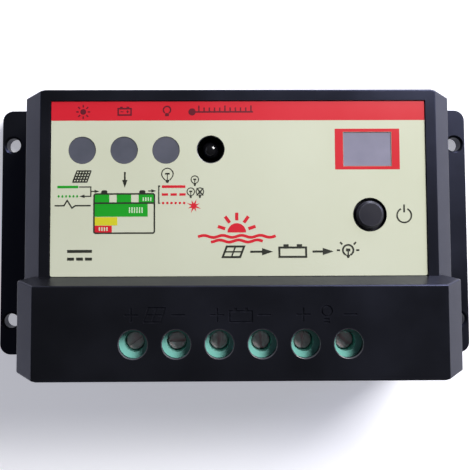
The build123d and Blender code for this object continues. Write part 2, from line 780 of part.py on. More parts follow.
# ---- Board -----------------------------------------------------------------------------------
lead_points = (
    led_lead_points + sensor_lead_points + display_pin_points + can_lead_points + small_can_lead_points
)
with BuildPart() as main_board:
    with BuildSketch(Plane.XY.offset(board_z)):
        Rectangle(2 * board_x, 2 * board_y)
        with Locations(*upper_bosses, *lower_bosses):
            Rectangle(2 * (boss_radius + boss_clear), 2 * (boss_radius + boss_clear), mode=Mode.SUBTRACT)
        with GridLocations(2 * post_x, 2 * post_y, 2, 2):
            Circle(board_screw_radius + fit_gap, mode=Mode.SUBTRACT)
        with Locations(*clamp_points):
            Circle(access_radius, mode=Mode.SUBTRACT)
        with Locations(*lead_points):
            Circle(lead_hole_radius, mode=Mode.SUBTRACT)
        with Locations(*mosfet_lead_points):
            Circle(lead_hole_radius + fit_gap, mode=Mode.SUBTRACT)
        with Locations(*shunt_lead_points):
            Circle(shunt_radius + fit_gap, mode=Mode.SUBTRACT)
        with Locations(*[(x, tail_y) for x in terminal_xs]):
            Rectangle(tail_width + 2 * fit_gap, bar_thickness + 2 * fit_gap, mode=Mode.SUBTRACT)
    extrude(amount=board_thickness)
main_board.part.label = "main_board"
export_step(main_board.part, "parts/main_board.step")

with BuildPart() as board_screws:
    with BuildSketch(Plane.XY.offset(board_top)):
        with GridLocations(2 * post_x, 2 * post_y, 2, 2):
            Circle(board_head_radius)
    extrude(amount=board_head_height)
    fillet(board_screws.faces().group_by(Axis.Z)[-1].edges(), board_head_height / 2)
    with BuildSketch(Plane.XY.offset(board_top)):
        with GridLocations(2 * post_x, 2 * post_y, 2, 2):
            Circle(board_screw_radius)
    extrude(amount=-(board_screw_length + board_thickness - 2 * fit_gap))
board_screws.part.label = "board_screws"
export_step(board_screws.part, "parts/board_screws.step")

with BuildPart() as case_screws:
    with BuildSketch(Plane.XY.offset(case_sink_depth)):
        with Locations(*upper_bosses, *lower_bosses):
            Circle(case_head_radius)
    extrude(amount=-case_head_height)
    fillet(case_screws.faces().group_by(Axis.Z)[0].edges(), case_head_height / 3)
    with BuildSketch(Plane.XY.offset(case_sink_depth)):
        with Locations(*upper_bosses, *lower_bosses):
            Circle(case_shank_radius)
    extrude(amount=case_shank_length)
    # cross recess
    with BuildSketch(Plane.XY.offset(case_sink_depth - case_head_height)):
        with Locations(*upper_bosses, *lower_bosses):
            Rectangle(case_head_radius, case_head_radius / 4)
            Rectangle(case_head_radius / 4, case_head_radius)
    extrude(amount=case_head_height / 2, mode=Mode.SUBTRACT)
case_screws.part.label = "case_screws"
export_step(case_screws.part, "parts/case_screws.step")


# ---- Indicators, sensor and display ----------------------------------------------------------
for name, (x, y) in zip(("sun_led", "battery_led", "load_led"), window_points):
    with BuildPart() as led:
        with BuildSketch(Plane.XZ.offset(-y)):
            with BuildLine():
                Polyline(
                    (x, led_top_z), (x, led_base_z), (x + led_rim_radius, led_base_z),
                    (x + led_rim_radius, led_base_z + led_rim), (x + led_radius, led_base_z + led_rim),
                    (x + led_radius, led_top_z - led_radius),
                )
                RadiusArc((x + led_radius, led_top_z - led_radius), (x, led_top_z), -led_radius)
            make_face()
        revolve(axis=Axis((x, y, 0), (0, 0, 1)))
    led.part.label = name
    export_step(led.part, f"parts/{name}.step")

with BuildPart() as led_spacers:
    with BuildSketch(Plane.XY.offset(board_top)):
        with Locations(*window_points):
            Circle(led_rim_radius)
        with Locations(*led_lead_points):
            Circle(lead_hole_radius, mode=Mode.SUBTRACT)
    extrude(amount=led_base_z - board_top)
led_spacers.part.label = "led_spacers"
export_step(led_spacers.part, "parts/led_spacers.step")

with BuildPart() as led_leads:
    with BuildSketch(Plane.XY.offset(lead_end_z)):
        with Locations(*led_lead_points):
            Circle(lead_radius)
    extrude(amount=led_base_z - lead_end_z)
led_leads.part.label = "led_leads"
export_step(led_leads.part, "parts/led_leads.step")

bead_top_z = panel_z - bead_sunk
bead_low_z = bead_top_z - bead_height
with BuildPart() as temperature_sensor:
    with BuildSketch(Plane.XY.offset(bead_low_z)):
        with Locations(sensor_point):
            Circle(bead_radius)
    extrude(amount=bead_height)
    fillet(temperature_sensor.faces().sort_by(Axis.Z)[-1].edges(), bead_dome)
    fillet(temperature_sensor.faces().sort_by(Axis.Z)[0].edges(), bead_foot)
temperature_sensor.part.label = "temperature_sensor"
export_step(temperature_sensor.part, "parts/temperature_sensor.step")

with BuildPart() as sensor_leads:
    with BuildSketch(Plane.XY.offset(lead_end_z)):
        with Locations(*sensor_lead_points):
            Circle(lead_radius)
    extrude(amount=bead_low_z - lead_end_z)
sensor_leads.part.label = "sensor_leads"
export_step(sensor_leads.part, "parts/sensor_leads.step")

display_low_z = display_top_z - display_height
with BuildPart() as display_body:
    with BuildSketch(Plane.XY.offset(display_low_z)):
        with Locations(display_point):
            Rectangle(display_x, display_y)
    extrude(amount=display_height)
    chamfer(display_body.edges().filter_by(Axis.Z), fit_gap)
display_body.part.label = "display_body"
export_step(display_body.part, "parts/display_body.step")

with BuildPart() as display_pins:
    with BuildSketch(Plane.XY.offset(lead_end_z)):
        with Locations(*display_pin_points):
            Circle(lead_radius)
    extrude(amount=display_low_z - lead_end_z)
display_pins.part.label = "display_pins"
export_step(display_pins.part, "parts/display_pins.step")


# ---- Parts on the board ----------------------------------------------------------------------
main_can_height = panel_in - can_gap - board_top
can_groups = {
    "main_capacitors": (can_points, can_lead_points, main_can_radius, main_can_height),
    "small_capacitors": (small_can_points, small_can_lead_points, small_can_radius, small_can_height),
}
for name, (points, legs, radius, height) in can_groups.items():
    with BuildPart() as cans:
        with BuildSketch(Plane.XY.offset(board_top)):
            with Locations(*points):
                Circle(radius)
        extrude(amount=height)
        fillet(cans.faces().group_by(Axis.Z)[-1].edges(), can_bevel)
        with BuildSketch(Plane.XY.offset(lead_end_z)):
            with Locations(*legs):
                Circle(lead_radius)
        extrude(amount=board_top - lead_end_z)
    cans.part.label = name
    export_step(cans.part, f"parts/{name}.step")

chip_low_z = board_top + chip_stand
with BuildPart() as microcontroller:
    with BuildSketch(Plane.XY.offset(chip_low_z)):
        with Locations(chip_centre):
            Rectangle(chip_x, chip_y)
    extrude(amount=chip_height, taper=chip_draft)
microcontroller.part.label = "microcontroller"
export_step(microcontroller.part, "parts/microcontroller.step")

with BuildPart() as voltage_regulator:
    with BuildSketch(Plane.XY.offset(chip_low_z)):
        with Locations(regulator_centre):
            Rectangle(regulator_x, regulator_y)
    extrude(amount=regulator_height, taper=chip_draft)
voltage_regulator.part.label = "voltage_regulator"
export_step(voltage_regulator.part, "parts/voltage_regulator.step")

lead_rows = [
    (chip_centre, chip_y, chip_lead_count, chip_lead_pitch, (-1, 1)),
    (regulator_centre, regulator_y, regulator_lead_count, regulator_lead_pitch, (-1,)),
]
with BuildPart() as chip_leads:
    for (middle_x, middle_y), depth, count, pitch, sides in lead_rows:
        for index in range(count):
            lead_x = middle_x + (index - (count - 1) / 2) * pitch
            for side in sides:
                start_y = middle_y + side * depth / 2
                foot_z = board_top + chip_lead_thickness / 2
                with BuildSketch(Plane.YZ.offset(lead_x)):
                    with BuildLine():
                        Polyline(
                            (start_y, foot_z + chip_height / 3),
                            (start_y + side * chip_lead_reach / 3, foot_z + chip_height / 3),
                            (start_y + side * chip_lead_reach / 2, foot_z),
                            (start_y + side * chip_lead_reach, foot_z),
                        )
                    trace(line_width=chip_lead_thickness)
                extrude(amount=chip_lead_width / 2, both=True)
chip_leads.part.label = "chip_leads"
export_step(chip_leads.part, "parts/chip_leads.step")

with BuildPart() as shunt_wires:
    for y in shunt_rows:
        foot = shunt_span / 2
        with BuildLine() as arch:
            FilletPolyline(
                (shunt_x - foot, y, lead_end_z), (shunt_x - foot, y, board_top + shunt_arch),
                (shunt_x + foot, y, board_top + shunt_arch), (shunt_x + foot, y, lead_end_z),
                radius=2 * shunt_radius,
            )
        with BuildSketch(Plane(origin=(shunt_x - foot, y, lead_end_z), z_dir=(0, 0, 1))):
            Circle(shunt_radius)
        sweep(path=arch.wires()[0])
shunt_wires.part.label = "shunt_wires"
export_step(shunt_wires.part, "parts/shunt_wires.step")

with BuildPart() as diodes:
    with BuildSketch(Plane.XY.offset(board_top)):
        with Locations(*diode_points):
            Rectangle(diode_x, diode_y)
    extrude(amount=diode_height, taper=diode_draft)
diodes.part.label = "diodes"
export_step(diodes.part, "parts/diodes.step")

chip_part_heights = {"chip_resistors": resistor_height, "chip_capacitors": chip_capacitor_height}
for name, height in chip_part_heights.items():
    with BuildPart() as pieces:
        with BuildSketch(Plane.XY.offset(board_top)):
            for row_point in chip_part_rows[name]:
                with Locations(row_point):
                    with GridLocations(0, small_part_pitch, 1, small_part_count):
                        Rectangle(resistor_x, resistor_y)
        extrude(amount=height)
    pieces.part.label = name
    export_step(pieces.part, f"parts/{name}.step")


# ---- Power transistors on the heat plate -----------------------------------------------------
with BuildPart() as heat_plate:
    with BuildSketch(Plane.XY):
        RectangleRounded(plate_window_x - 2 * plate_gap, plate_window_y - 2 * plate_gap, plate_corner)
    extrude(amount=floor)
    with BuildSketch(Plane.XY.offset(floor)):
        RectangleRounded(plate_x, plate_y, plate_corner)
        with GridLocations(2 * stake_x, 2 * stake_y, 2, 2):
            Circle(stake_radius + plate_gap, mode=Mode.SUBTRACT)
    extrude(amount=plate_flange)
    with BuildSketch(Plane.XY.offset(plate_z)):
        with Locations(*clamp_points):
            Circle(clamp_screw_radius + clamp_screw_fit)
    extrude(amount=-(plate_z - clamp_screw_floor), mode=Mode.SUBTRACT)
heat_plate.part.label = "heat_plate"
export_step(heat_plate.part, "parts/heat_plate.step")

pad_x = mosfet_row + 2 * pad_margin
pad_y = mosfet_body_y + mosfet_tab_y + 2 * pad_margin
with BuildPart() as thermal_pad:
    with BuildSketch(Plane.XY.offset(plate_z)):
        with Locations((0, (mosfet_low_y + mosfet_tab_end) / 2)):
            Rectangle(pad_x, pad_y)
        with Locations(*clamp_points):
            Circle(clamp_screw_radius + pad_margin, mode=Mode.SUBTRACT)
    extrude(amount=pad_thickness)
thermal_pad.part.label = "thermal_pad"
export_step(thermal_pad.part, "parts/thermal_pad.step")

with BuildPart() as mosfet_bodies:
    with BuildSketch(Plane.XY.offset(mosfet_z)):
        with Locations(*[(x, clamp_y) for x in mosfet_xs]):
            Rectangle(mosfet_x, mosfet_body_y)
    extrude(amount=mosfet_body_z)
    chamfer(mosfet_bodies.faces().group_by(Axis.Z)[-1].edges(), fit_gap)
mosfet_bodies.part.label = "mosfet_bodies"
export_step(mosfet_bodies.part, "parts/mosfet_bodies.step")

with BuildPart() as mosfet_metal:
    tab_y = mosfet_high_y + mosfet_tab_y / 2
    with BuildSketch(Plane.XY.offset(mosfet_z)):
        with Locations(*[(x, tab_y) for x in mosfet_xs]):
            Rectangle(mosfet_x, mosfet_tab_y)
            Circle(mosfet_hole_radius, mode=Mode.SUBTRACT)
    extrude(amount=mosfet_tab_z)
    for lead_x, lead_y in mosfet_lead_points:
        with BuildSketch(Plane.YZ.offset(lead_x)):
            with BuildLine():
                Polyline(
                    (mosfet_low_y, mosfet_z + mosfet_lead_z), (lead_y, mosfet_z + mosfet_lead_z),
                    (lead_y, board_top + lead_stub),
                )
            trace(line_width=mosfet_lead_thickness)
        extrude(amount=mosfet_lead_width / 2, both=True)
mosfet_metal.part.label = "mosfet_metal"
export_step(mosfet_metal.part, "parts/mosfet_metal.step")

with BuildPart() as clamp_bar:
    with BuildSketch(Plane.XY.offset(clamp_z)):
        with Locations((0, clamp_y)):
            Rectangle(mosfet_row + 2 * clamp_end, clamp_width)
        with Locations(*clamp_points):
            Circle(clamp_screw_radius + fit_gap, mode=Mode.SUBTRACT)
    extrude(amount=clamp_thickness)
clamp_bar.part.label = "clamp_bar"
export_step(clamp_bar.part, "parts/clamp_bar.step")

clamp_top = clamp_z + clamp_thickness
with BuildPart() as clamp_screws:
    with BuildSketch(Plane.XY.offset(clamp_top)):
        with Locations(*clamp_points):
            Circle(clamp_head_radius)
    extrude(amount=clamp_head_height)
    fillet(clamp_screws.faces().group_by(Axis.Z)[-1].edges(), clamp_head_height / 3)
    with BuildSketch(Plane.XY.offset(clamp_top)):
        with Locations(*clamp_points):
            Circle(clamp_screw_radius)
    extrude(amount=-(clamp_top - clamp_screw_floor - fit_gap))
clamp_screws.part.label = "clamp_screws"
export_step(clamp_screws.part, "parts/clamp_screws.step")
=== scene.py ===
import math

import bmesh
import bpy
from mathutils import Matrix, Vector


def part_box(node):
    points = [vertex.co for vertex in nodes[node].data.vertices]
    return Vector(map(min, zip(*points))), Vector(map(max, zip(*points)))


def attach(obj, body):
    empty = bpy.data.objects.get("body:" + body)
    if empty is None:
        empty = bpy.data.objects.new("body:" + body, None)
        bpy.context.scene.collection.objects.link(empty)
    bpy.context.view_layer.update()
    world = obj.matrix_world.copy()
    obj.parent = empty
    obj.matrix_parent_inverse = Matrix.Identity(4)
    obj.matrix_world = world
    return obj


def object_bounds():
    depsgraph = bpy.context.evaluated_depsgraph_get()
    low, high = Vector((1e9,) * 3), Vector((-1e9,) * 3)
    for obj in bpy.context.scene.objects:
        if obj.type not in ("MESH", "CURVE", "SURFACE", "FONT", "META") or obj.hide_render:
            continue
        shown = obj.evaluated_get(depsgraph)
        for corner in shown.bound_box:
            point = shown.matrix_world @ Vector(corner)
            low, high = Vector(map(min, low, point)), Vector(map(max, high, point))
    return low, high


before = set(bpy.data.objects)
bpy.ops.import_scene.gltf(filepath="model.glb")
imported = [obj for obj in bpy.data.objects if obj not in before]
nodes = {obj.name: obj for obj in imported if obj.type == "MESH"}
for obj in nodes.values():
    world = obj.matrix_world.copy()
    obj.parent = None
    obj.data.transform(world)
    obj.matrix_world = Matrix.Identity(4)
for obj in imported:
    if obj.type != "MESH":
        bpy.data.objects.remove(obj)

cad_low, cad_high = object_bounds()


# ---- Housing mouldings ---------------------------------------------------------------------
# The front and the rear housing are injection-moulded black ABS with a fine spark-eroded
# skin. Four screws from behind hold them together. Handling polishes their edges.
def add(tree, kind, values=(), **settings):
    """Adds a node, and sets or links its inputs by name or in order."""
    made = tree.nodes.new(kind if kind.startswith("Geometry") else "ShaderNode" + kind)
    for key, value in settings.items():
        setattr(made, key, value)
    pairs = values.items() if isinstance(values, dict) else enumerate(values)
    for key, value in pairs:
        if isinstance(value, bpy.types.NodeSocket):
            tree.links.new(value, made.inputs[key])
        else:
            made.inputs[key].default_value = value
    return made


def mix_colour(tree, factor, first, second):
    """Mixes two colours by a factor, and returns the mixed colour's socket."""
    return add(tree, "Mix", {0: factor, 6: first, 7: second}, data_type="RGBA").outputs[2]


def spread(tree, value, low, high, to_low=0.0, to_high=1.0):
    """Stretches a value from one range to another, clamped."""
    return add(tree, "MapRange", [value, low, high, to_low, to_high]).outputs[0]


def effect(name, inputs, outputs):
    """A new node group. inputs and outputs are {socket name: (type, default)}."""
    tree = bpy.data.node_groups.new(name, "ShaderNodeTree")
    for side, sockets in (("INPUT", inputs), ("OUTPUT", outputs)):
        for title, (kind, default) in sockets.items():
            socket = tree.interface.new_socket(title, in_out=side, socket_type="NodeSocket" + kind)
            if default is not None:
                socket.default_value = default
    return tree, tree.nodes.new("NodeGroupInput").outputs, tree.nodes.new("NodeGroupOutput").inputs


def finish_of(name, roughness=0.5, metallic=0.0, **plain):
    """A new material with its Principled shader and the object's own coordinates."""
    material = bpy.data.materials.new(name)
    material.use_nodes = True
    tree = material.node_tree
    shader = tree.nodes["Principled BSDF"]
    shader.inputs["Roughness"].default_value = roughness
    shader.inputs["Metallic"].default_value = metallic
    for key, value in plain.items():
        shader.inputs[key.replace("_", " ")].default_value = value
    return material, tree, shader, add(tree, "TexCoord").outputs["Object"]


def place_effect(tree, group, values):
    """Places a node group in a material with its own values, and returns its outputs."""
    return add(tree, "Group", values, node_tree=group).outputs


def connect(tree, shader, colour, roughness=None, height=None, bump=0.1):
    """Feeds a material's colour, roughness and bump. Bump is the strength of a shallow relief."""
    tree.links.new(colour, shader.inputs["Base Color"])
    if roughness is not None:
        tree.links.new(roughness, shader.inputs["Roughness"])
    if height is not None:
        relief = add(tree, "Bump", {"Strength": bump, "Distance": 0.00005, "Height": height})
        tree.links.new(relief.outputs[0], shader.inputs["Normal"])


def dress(material, *names):
    """Gives CAD nodes their material."""
    for name in names:
        for slot in nodes[name].material_slots:
            slot.material = material


# Fine grain: a height for the bump and a slow mottle for colour and gloss.
grain, given, out = effect(
    "fine_grain",
    {"Position": ("Vector", None), "Grain": ("Float", 4000.0), "Patch": ("Float", 60.0)},
    {"Height": ("Float", None), "Mottle": ("Float", None)},
)
fine = add(grain, "TexNoise", {"Vector": given["Position"], "Scale": given["Grain"], "Detail": 3.0})
slow = add(grain, "TexNoise", {"Vector": given["Position"], "Scale": given["Patch"], "Detail": 4.0})
grain.links.new(fine.outputs["Fac"], out["Height"])
grain.links.new(spread(grain, slow.outputs["Fac"], low=0.3, high=0.7), out["Mottle"])

# Edge wear: where the surface turns within the width, broken up by a coarse noise.
edge_wear, given, out = effect(
    "edge_wear",
    {"Position": ("Vector", None), "Width": ("Float", 0.0004), "Breakup": ("Float", 900.0)},
    {"Wear": ("Float", None)},
)
rounded = add(edge_wear, "Bevel", {"Radius": given["Width"]}, samples=6)
facing = add(edge_wear, "NewGeometry")
turned = add(
    edge_wear, "VectorMath", [rounded.outputs[0], facing.outputs["Normal"]], operation="DOT_PRODUCT"
)
edge = spread(edge_wear, turned.outputs["Value"], low=0.995, high=0.85)
broken = add(edge_wear, "TexNoise", {"Vector": given["Position"], "Scale": given["Breakup"], "Detail": 5.0})
chips = spread(edge_wear, broken.outputs["Fac"], low=0.38, high=0.62)
worn = add(edge_wear, "Math", [edge, chips], operation="MULTIPLY")
edge_wear.links.new(worn.outputs[0], out["Wear"])


def moulded(name, tone, shade, polish, gloss=(0.30, 0.42), wear=0.5, bump=0.12, **plain):
    """Moulded plastic: grained skin, slow changes of tone and gloss, edges polished by use."""
    material, tree, shader, position = finish_of(name, **plain)
    skin = place_effect(tree, grain, {"Position": position, "Grain": 4500.0, "Patch": 55.0})
    edges = place_effect(tree, edge_wear, {"Position": position, "Width": 0.0004})
    body = mix_colour(tree, skin["Mottle"], (*tone, 1.0), (*shade, 1.0))
    amount = add(tree, "Math", [edges["Wear"], wear], operation="MULTIPLY").outputs[0]
    colour = mix_colour(tree, amount, body, (*polish, 1.0))
    rough = spread(tree, skin["Mottle"], 0.0, 1.0, *gloss)
    connect(tree, shader, colour, rough, skin["Height"], bump)
    return material


housing_black = moulded(
    "housing_black", tone=(0.0042, 0.0043, 0.0042), shade=(0.0064, 0.0066, 0.0066),
    polish=(0.022, 0.022, 0.030), Specular_Tint=(0.52, 0.57, 1.0, 1.0),
)
dress(housing_black, "front_housing", "rear_housing")


# ---- Screws and clamp bar ------------------------------------------------------------------
# Self-tapping and machine screws of zinc-plated steel, turned in from behind or on the board,
# and the steel bar that the clamp screws pull down. The plating is pale, with dull patches
# and fine marks from the driver.
brushed, given, out = effect(
    "drawn_metal",
    {"Position": ("Vector", None), "Grain": ("Float", 900.0), "Stretch": ("Vector", (1.0, 1.0, 0.08))},
    {"Streak": ("Float", None), "Stain": ("Float", None)},
)
along = add(brushed, "VectorMath", [given["Position"], given["Stretch"]], operation="MULTIPLY")
lines = add(brushed, "TexNoise", {"Vector": along.outputs[0], "Scale": given["Grain"], "Detail": 6.0})
cloud = add(brushed, "TexNoise", {"Vector": given["Position"], "Scale": 380.0, "Detail": 5.0})
brushed.links.new(lines.outputs["Fac"], out["Streak"])
brushed.links.new(spread(brushed, cloud.outputs["Fac"], low=0.40, high=0.65), out["Stain"])


def metal(
    name, bright, dull, gloss=(0.25, 0.45), stretch=(1.0, 1.0, 1.0), bump=0.08, wear=0.3, metallic=1.0
):
    """Bare or plated metal: drawn streaks, tarnish in patches, brighter edges."""
    material, tree, shader, position = finish_of(name, metallic=metallic)
    marks = place_effect(tree, brushed, {"Position": position, "Stretch": stretch})
    edges = place_effect(tree, edge_wear, {"Position": position, "Width": 0.0002})
    base = mix_colour(tree, marks["Stain"], (*bright, 1.0), (*dull, 1.0))
    amount = add(tree, "Math", [edges["Wear"], wear], operation="MULTIPLY").outputs[0]
    rubbed = [min(1.0, channel * 1.3) for channel in bright]
    colour = mix_colour(tree, amount, base, (*rubbed, 1.0))
    rough = spread(tree, marks["Streak"], 0.3, 0.7, *gloss)
    connect(tree, shader, colour, rough, marks["Streak"], bump)
    return material


zinc = metal("zinc_plating", bright=(0.62, 0.63, 0.62), dull=(0.42, 0.42, 0.40))
dress(zinc, "case_screws", "board_screws", "clamp_screws", "clamp_bar")


# ---- Heat plate ----------------------------------------------------------------------------
# A milled aluminium plate that closes the opening in the rear housing. Moulded pins are
# pressed over to hold it. Its long mill marks run across the controller.
aluminium = metal(
    "milled_aluminium", bright=(0.70, 0.71, 0.72), dull=(0.56, 0.57, 0.58), gloss=(0.28, 0.50),
    stretch=(0.05, 1.0, 1.0), bump=0.2,
)
dress(aluminium, "heat_plate")


# ---- Thermal pad ---------------------------------------------------------------------------
# A soft pad of grey silicone, cut from sheet and laid on the heat plate. It carries heat
# across and keeps the transistors' tabs apart from the plate.
silicone = moulded(
    "silicone_pad", tone=(0.20, 0.22, 0.23), shade=(0.26, 0.28, 0.29), polish=(0.30, 0.32, 0.33),
    gloss=(0.70, 0.85), wear=0.2, bump=0.3,
)
dress(silicone, "thermal_pad")


# ---- Power transistors ---------------------------------------------------------------------
# Four switching transistors, moulded in black epoxy round tinned copper tabs and leads. The
# clamp bar presses them on the pad, and their leads go to the board.
chip_epoxy = moulded(
    "chip_epoxy", tone=(0.012, 0.012, 0.013), shade=(0.020, 0.020, 0.021), polish=(0.05, 0.05, 0.05),
    gloss=(0.45, 0.62), wear=0.5, bump=0.3,
)
dress(chip_epoxy, "mosfet_bodies")
tinned = metal("tinned_copper", bright=(0.72, 0.71, 0.68), dull=(0.55, 0.54, 0.50), gloss=(0.22, 0.38))
dress(tinned, "mosfet_metal")


# ---- Main board ----------------------------------------------------------------------------
# Glass-epoxy board with green solder mask. The tracks show under the mask as slightly raised,
# lighter runs, and the weave of the glass shows faintly at an angle.
board_green, tree, shader, position = finish_of("solder_mask", roughness=0.3)
skin = place_effect(tree, grain, {"Position": position, "Grain": 2500.0, "Patch": 90.0})
squares = add(tree, "TexBrick", {
    "Vector": position, "Scale": 160.0, "Mortar Size": 0.16, "Mortar Smooth": 0.1,
    "Brick Width": 1.1, "Row Height": 0.4,
}, offset=0.37)
weave = add(tree, "TexWave", {"Vector": position, "Scale": 900.0, "Distortion": 0.4}, wave_type="BANDS")
mask = mix_colour(tree, skin["Mottle"], (0.010, 0.075, 0.032, 1.0), (0.016, 0.105, 0.045, 1.0))
colour = mix_colour(tree, squares.outputs["Fac"], mask, (0.030, 0.190, 0.085, 1.0))
relief = add(tree, "Math", [weave.outputs["Fac"], 0.15], operation="MULTIPLY")
height = add(tree, "Math", [squares.outputs["Fac"], relief.outputs[0]], operation="ADD").outputs[0]
rough = spread(tree, skin["Mottle"], 0.0, 1.0, 0.24, 0.40)
connect(tree, shader, colour, rough, height, 0.25)
dress(board_green, "main_board")


# ---- Chips, diodes and shunt wires ---------------------------------------------------------
# The processor, the voltage regulator and the diodes are moulded in the same black epoxy as
# the transistors. Their leads and the bent current wires beside them are tinned copper.
dress(chip_epoxy, "microcontroller", "voltage_regulator", "diodes")
dress(tinned, "chip_leads", "shunt_wires")


# ---- Capacitors ----------------------------------------------------------------------------
# Wound capacitors in aluminium cans, each in a dark blue plastic sleeve that was shrunk on
# with heat. They stand on the board on their own leads.
sleeve = moulded(
    "capacitor_sleeve", tone=(0.012, 0.016, 0.045), shade=(0.018, 0.022, 0.060),
    polish=(0.10, 0.11, 0.16), gloss=(0.18, 0.28), wear=0.4, bump=0.06,
)
dress(sleeve, "main_capacitors", "small_capacitors")


# ---- Chip resistors and chip capacitors ----------------------------------------------------
# Small ceramic blocks, soldered flat on the board. The resistors have a black glaze on top,
# and the capacitors show their brown fired ceramic.
glaze = moulded(
    "resistor_glaze", tone=(0.020, 0.020, 0.022), shade=(0.032, 0.031, 0.033),
    polish=(0.35, 0.34, 0.32), gloss=(0.20, 0.35), wear=0.8, bump=0.2,
)
dress(glaze, "chip_resistors")
ceramic = moulded(
    "chip_ceramic", tone=(0.42, 0.30, 0.18), shade=(0.52, 0.38, 0.24), polish=(0.60, 0.56, 0.50),
    gloss=(0.45, 0.60), wear=0.8, bump=0.3,
)
dress(ceramic, "chip_capacitors")


# ---- Indicators and their spacers ----------------------------------------------------------
# Round indicators of tinted epoxy, cast round their tinned leads, stand under the windows.
# A nylon spacer under each one holds it at its height over the board.
def tinted_epoxy(name, tint, deep):
    """Cast epoxy: clear gloss outside, and a tint that thickens in cloudy patches."""
    material, tree, shader, position = finish_of(name, IOR=1.52, Subsurface_Weight=0.25)
    shader.inputs["Subsurface Radius"].default_value = (0.001, 0.001, 0.001)
    skin = place_effect(tree, grain, {"Position": position, "Grain": 1200.0, "Patch": 260.0})
    colour = mix_colour(tree, skin["Mottle"], (*tint, 1.0), (*deep, 1.0))
    rough = spread(tree, skin["Mottle"], 0.0, 1.0, 0.10, 0.20)
    connect(tree, shader, colour, rough, skin["Height"], 0.02)
    return material


dress(tinted_epoxy("green_epoxy", tint=(0.10, 0.42, 0.12), deep=(0.05, 0.28, 0.07)), "sun_led")
dress(tinted_epoxy("yellow_epoxy", tint=(0.62, 0.48, 0.06), deep=(0.48, 0.34, 0.03)), "battery_led")
dress(tinted_epoxy("red_epoxy", tint=(0.55, 0.05, 0.04), deep=(0.38, 0.03, 0.02)), "load_led")
dress(tinned, "led_leads")
nylon = moulded(
    "spacer_nylon", tone=(0.55, 0.54, 0.48), shade=(0.62, 0.61, 0.55), polish=(0.70, 0.69, 0.64),
    gloss=(0.40, 0.55), wear=0.3, bump=0.1,
)
dress(nylon, "led_spacers")


# ---- Temperature sensor --------------------------------------------------------------------
# A bead of black epoxy, dipped on the ends of two tinned leads. It looks out through its own
# hole in the panel, and has a hard gloss.
bead_black, tree, shader, position = finish_of("bead_black", IOR=1.55)
skin = place_effect(tree, grain, {"Position": position, "Grain": 1500.0, "Patch": 300.0})
colour = mix_colour(tree, skin["Mottle"], (0.004, 0.004, 0.005, 1.0), (0.007, 0.007, 0.009, 1.0))
rough = spread(tree, skin["Mottle"], 0.0, 1.0, 0.10, 0.18)
connect(tree, shader, colour, rough, skin["Height"], 0.03)
dress(bead_black, "temperature_sensor")
dress(tinned, "sensor_leads")


# ---- Display -------------------------------------------------------------------------------
# A two-digit display: a moulded grey case filled with resin, on tinned pins that are soldered
# in the board. It is dark when it is off.
display_plastic = moulded(
    "display_plastic", tone=(0.30, 0.30, 0.33), shade=(0.36, 0.36, 0.39), polish=(0.45, 0.45, 0.47),
    gloss=(0.40, 0.55), wear=0.3, bump=0.08,
)
dress(display_plastic, "display_body")
dress(tinned, "display_pins")


# ---- Push switch ---------------------------------------------------------------------------
# A small sprung switch of black moulded plastic, soldered on the board under the button. Its
# plunger goes down with the cap.
switch_plastic = moulded(
    "switch_plastic", tone=(0.016, 0.016, 0.017), shade=(0.024, 0.024, 0.025),
    polish=(0.06, 0.06, 0.06), gloss=(0.35, 0.50),
)
dress(switch_plastic, "switch_body", "switch_plunger")


# ---- Terminal block and contacts -----------------------------------------------------------
# A moulding of green polyamide with six wire pockets, and a tinned copper bar in each one
# that takes the current down to the board.
block_green = moulded(
    "terminal_green", tone=(0.240, 0.66, 0.57), shade=(0.270, 0.72, 0.63), polish=(0.48, 0.80, 0.70),
    gloss=(0.28, 0.40), wear=0.5, bump=0.06,
)
dress(block_green, "terminal_block")
dress(tinned, "terminal_contacts")


# ---- Terminal screws -----------------------------------------------------------------------
# Six slotted screws of turned steel with a warm tarnish, rubbed bright by drivers. Each one
# stays in place as it turns, and draws its cage up against the contact.
screw_steel = metal(
    "terminal_steel", bright=(0.95, 0.64, 0.70), dull=(0.70, 0.46, 0.50), gloss=(0.42, 0.62),
    stretch=(1.0, 0.15, 1.0), bump=0.3, wear=0.5, metallic=0.25,
)
dress(screw_steel, *[f"terminal_screw_{i}" for i in range(1, 7)])


# ---- Terminal cages ------------------------------------------------------------------------
# Six clamp cages, bent from steel strip and nickel plated. Each rides on its screw and
# presses the bare wire up on the contact.
nickel = metal("cage_nickel", bright=(0.66, 0.64, 0.58), dull=(0.50, 0.48, 0.42))
dress(nickel, *[f"terminal_cage_{i}" for i in range(1, 7)])


# ---- Push button ---------------------------------------------------------------------------
# A moulded black cap, pushed on the plunger of the switch. Its plastic is a little paler than
# the housing's, and fingers polish its rim.
cap_black = moulded(
    "button_black", tone=(0.018, 0.018, 0.026), shade=(0.026, 0.026, 0.036), polish=(0.16, 0.16, 0.22),
    wear=0.6,
)
dress(cap_black, "button_cap")


# ---- Label ---------------------------------------------------------------------------------
# A polycarbonate film with a pale printed ground, stuck in the recess of the panel. Its face
# has a faint orange peel, and its tone drifts slowly.
def film(name, tone, shade):
    """Printed film: even ink with a slow drift of tone and the film's orange peel."""
    material, tree, shader, position = finish_of(name)
    skin = place_effect(tree, grain, {"Position": position, "Grain": 1400.0, "Patch": 30.0})
    colour = mix_colour(tree, skin["Mottle"], (*tone, 1.0), (*shade, 1.0))
    rough = spread(tree, skin["Mottle"], 0.0, 1.0, 0.34, 0.46)
    connect(tree, shader, colour, rough, skin["Height"], 0.05)
    return material


label_ground = film("label_ground", tone=(0.600, 0.625, 0.475), shade=(0.635, 0.660, 0.515))
dress(label_ground, "label")


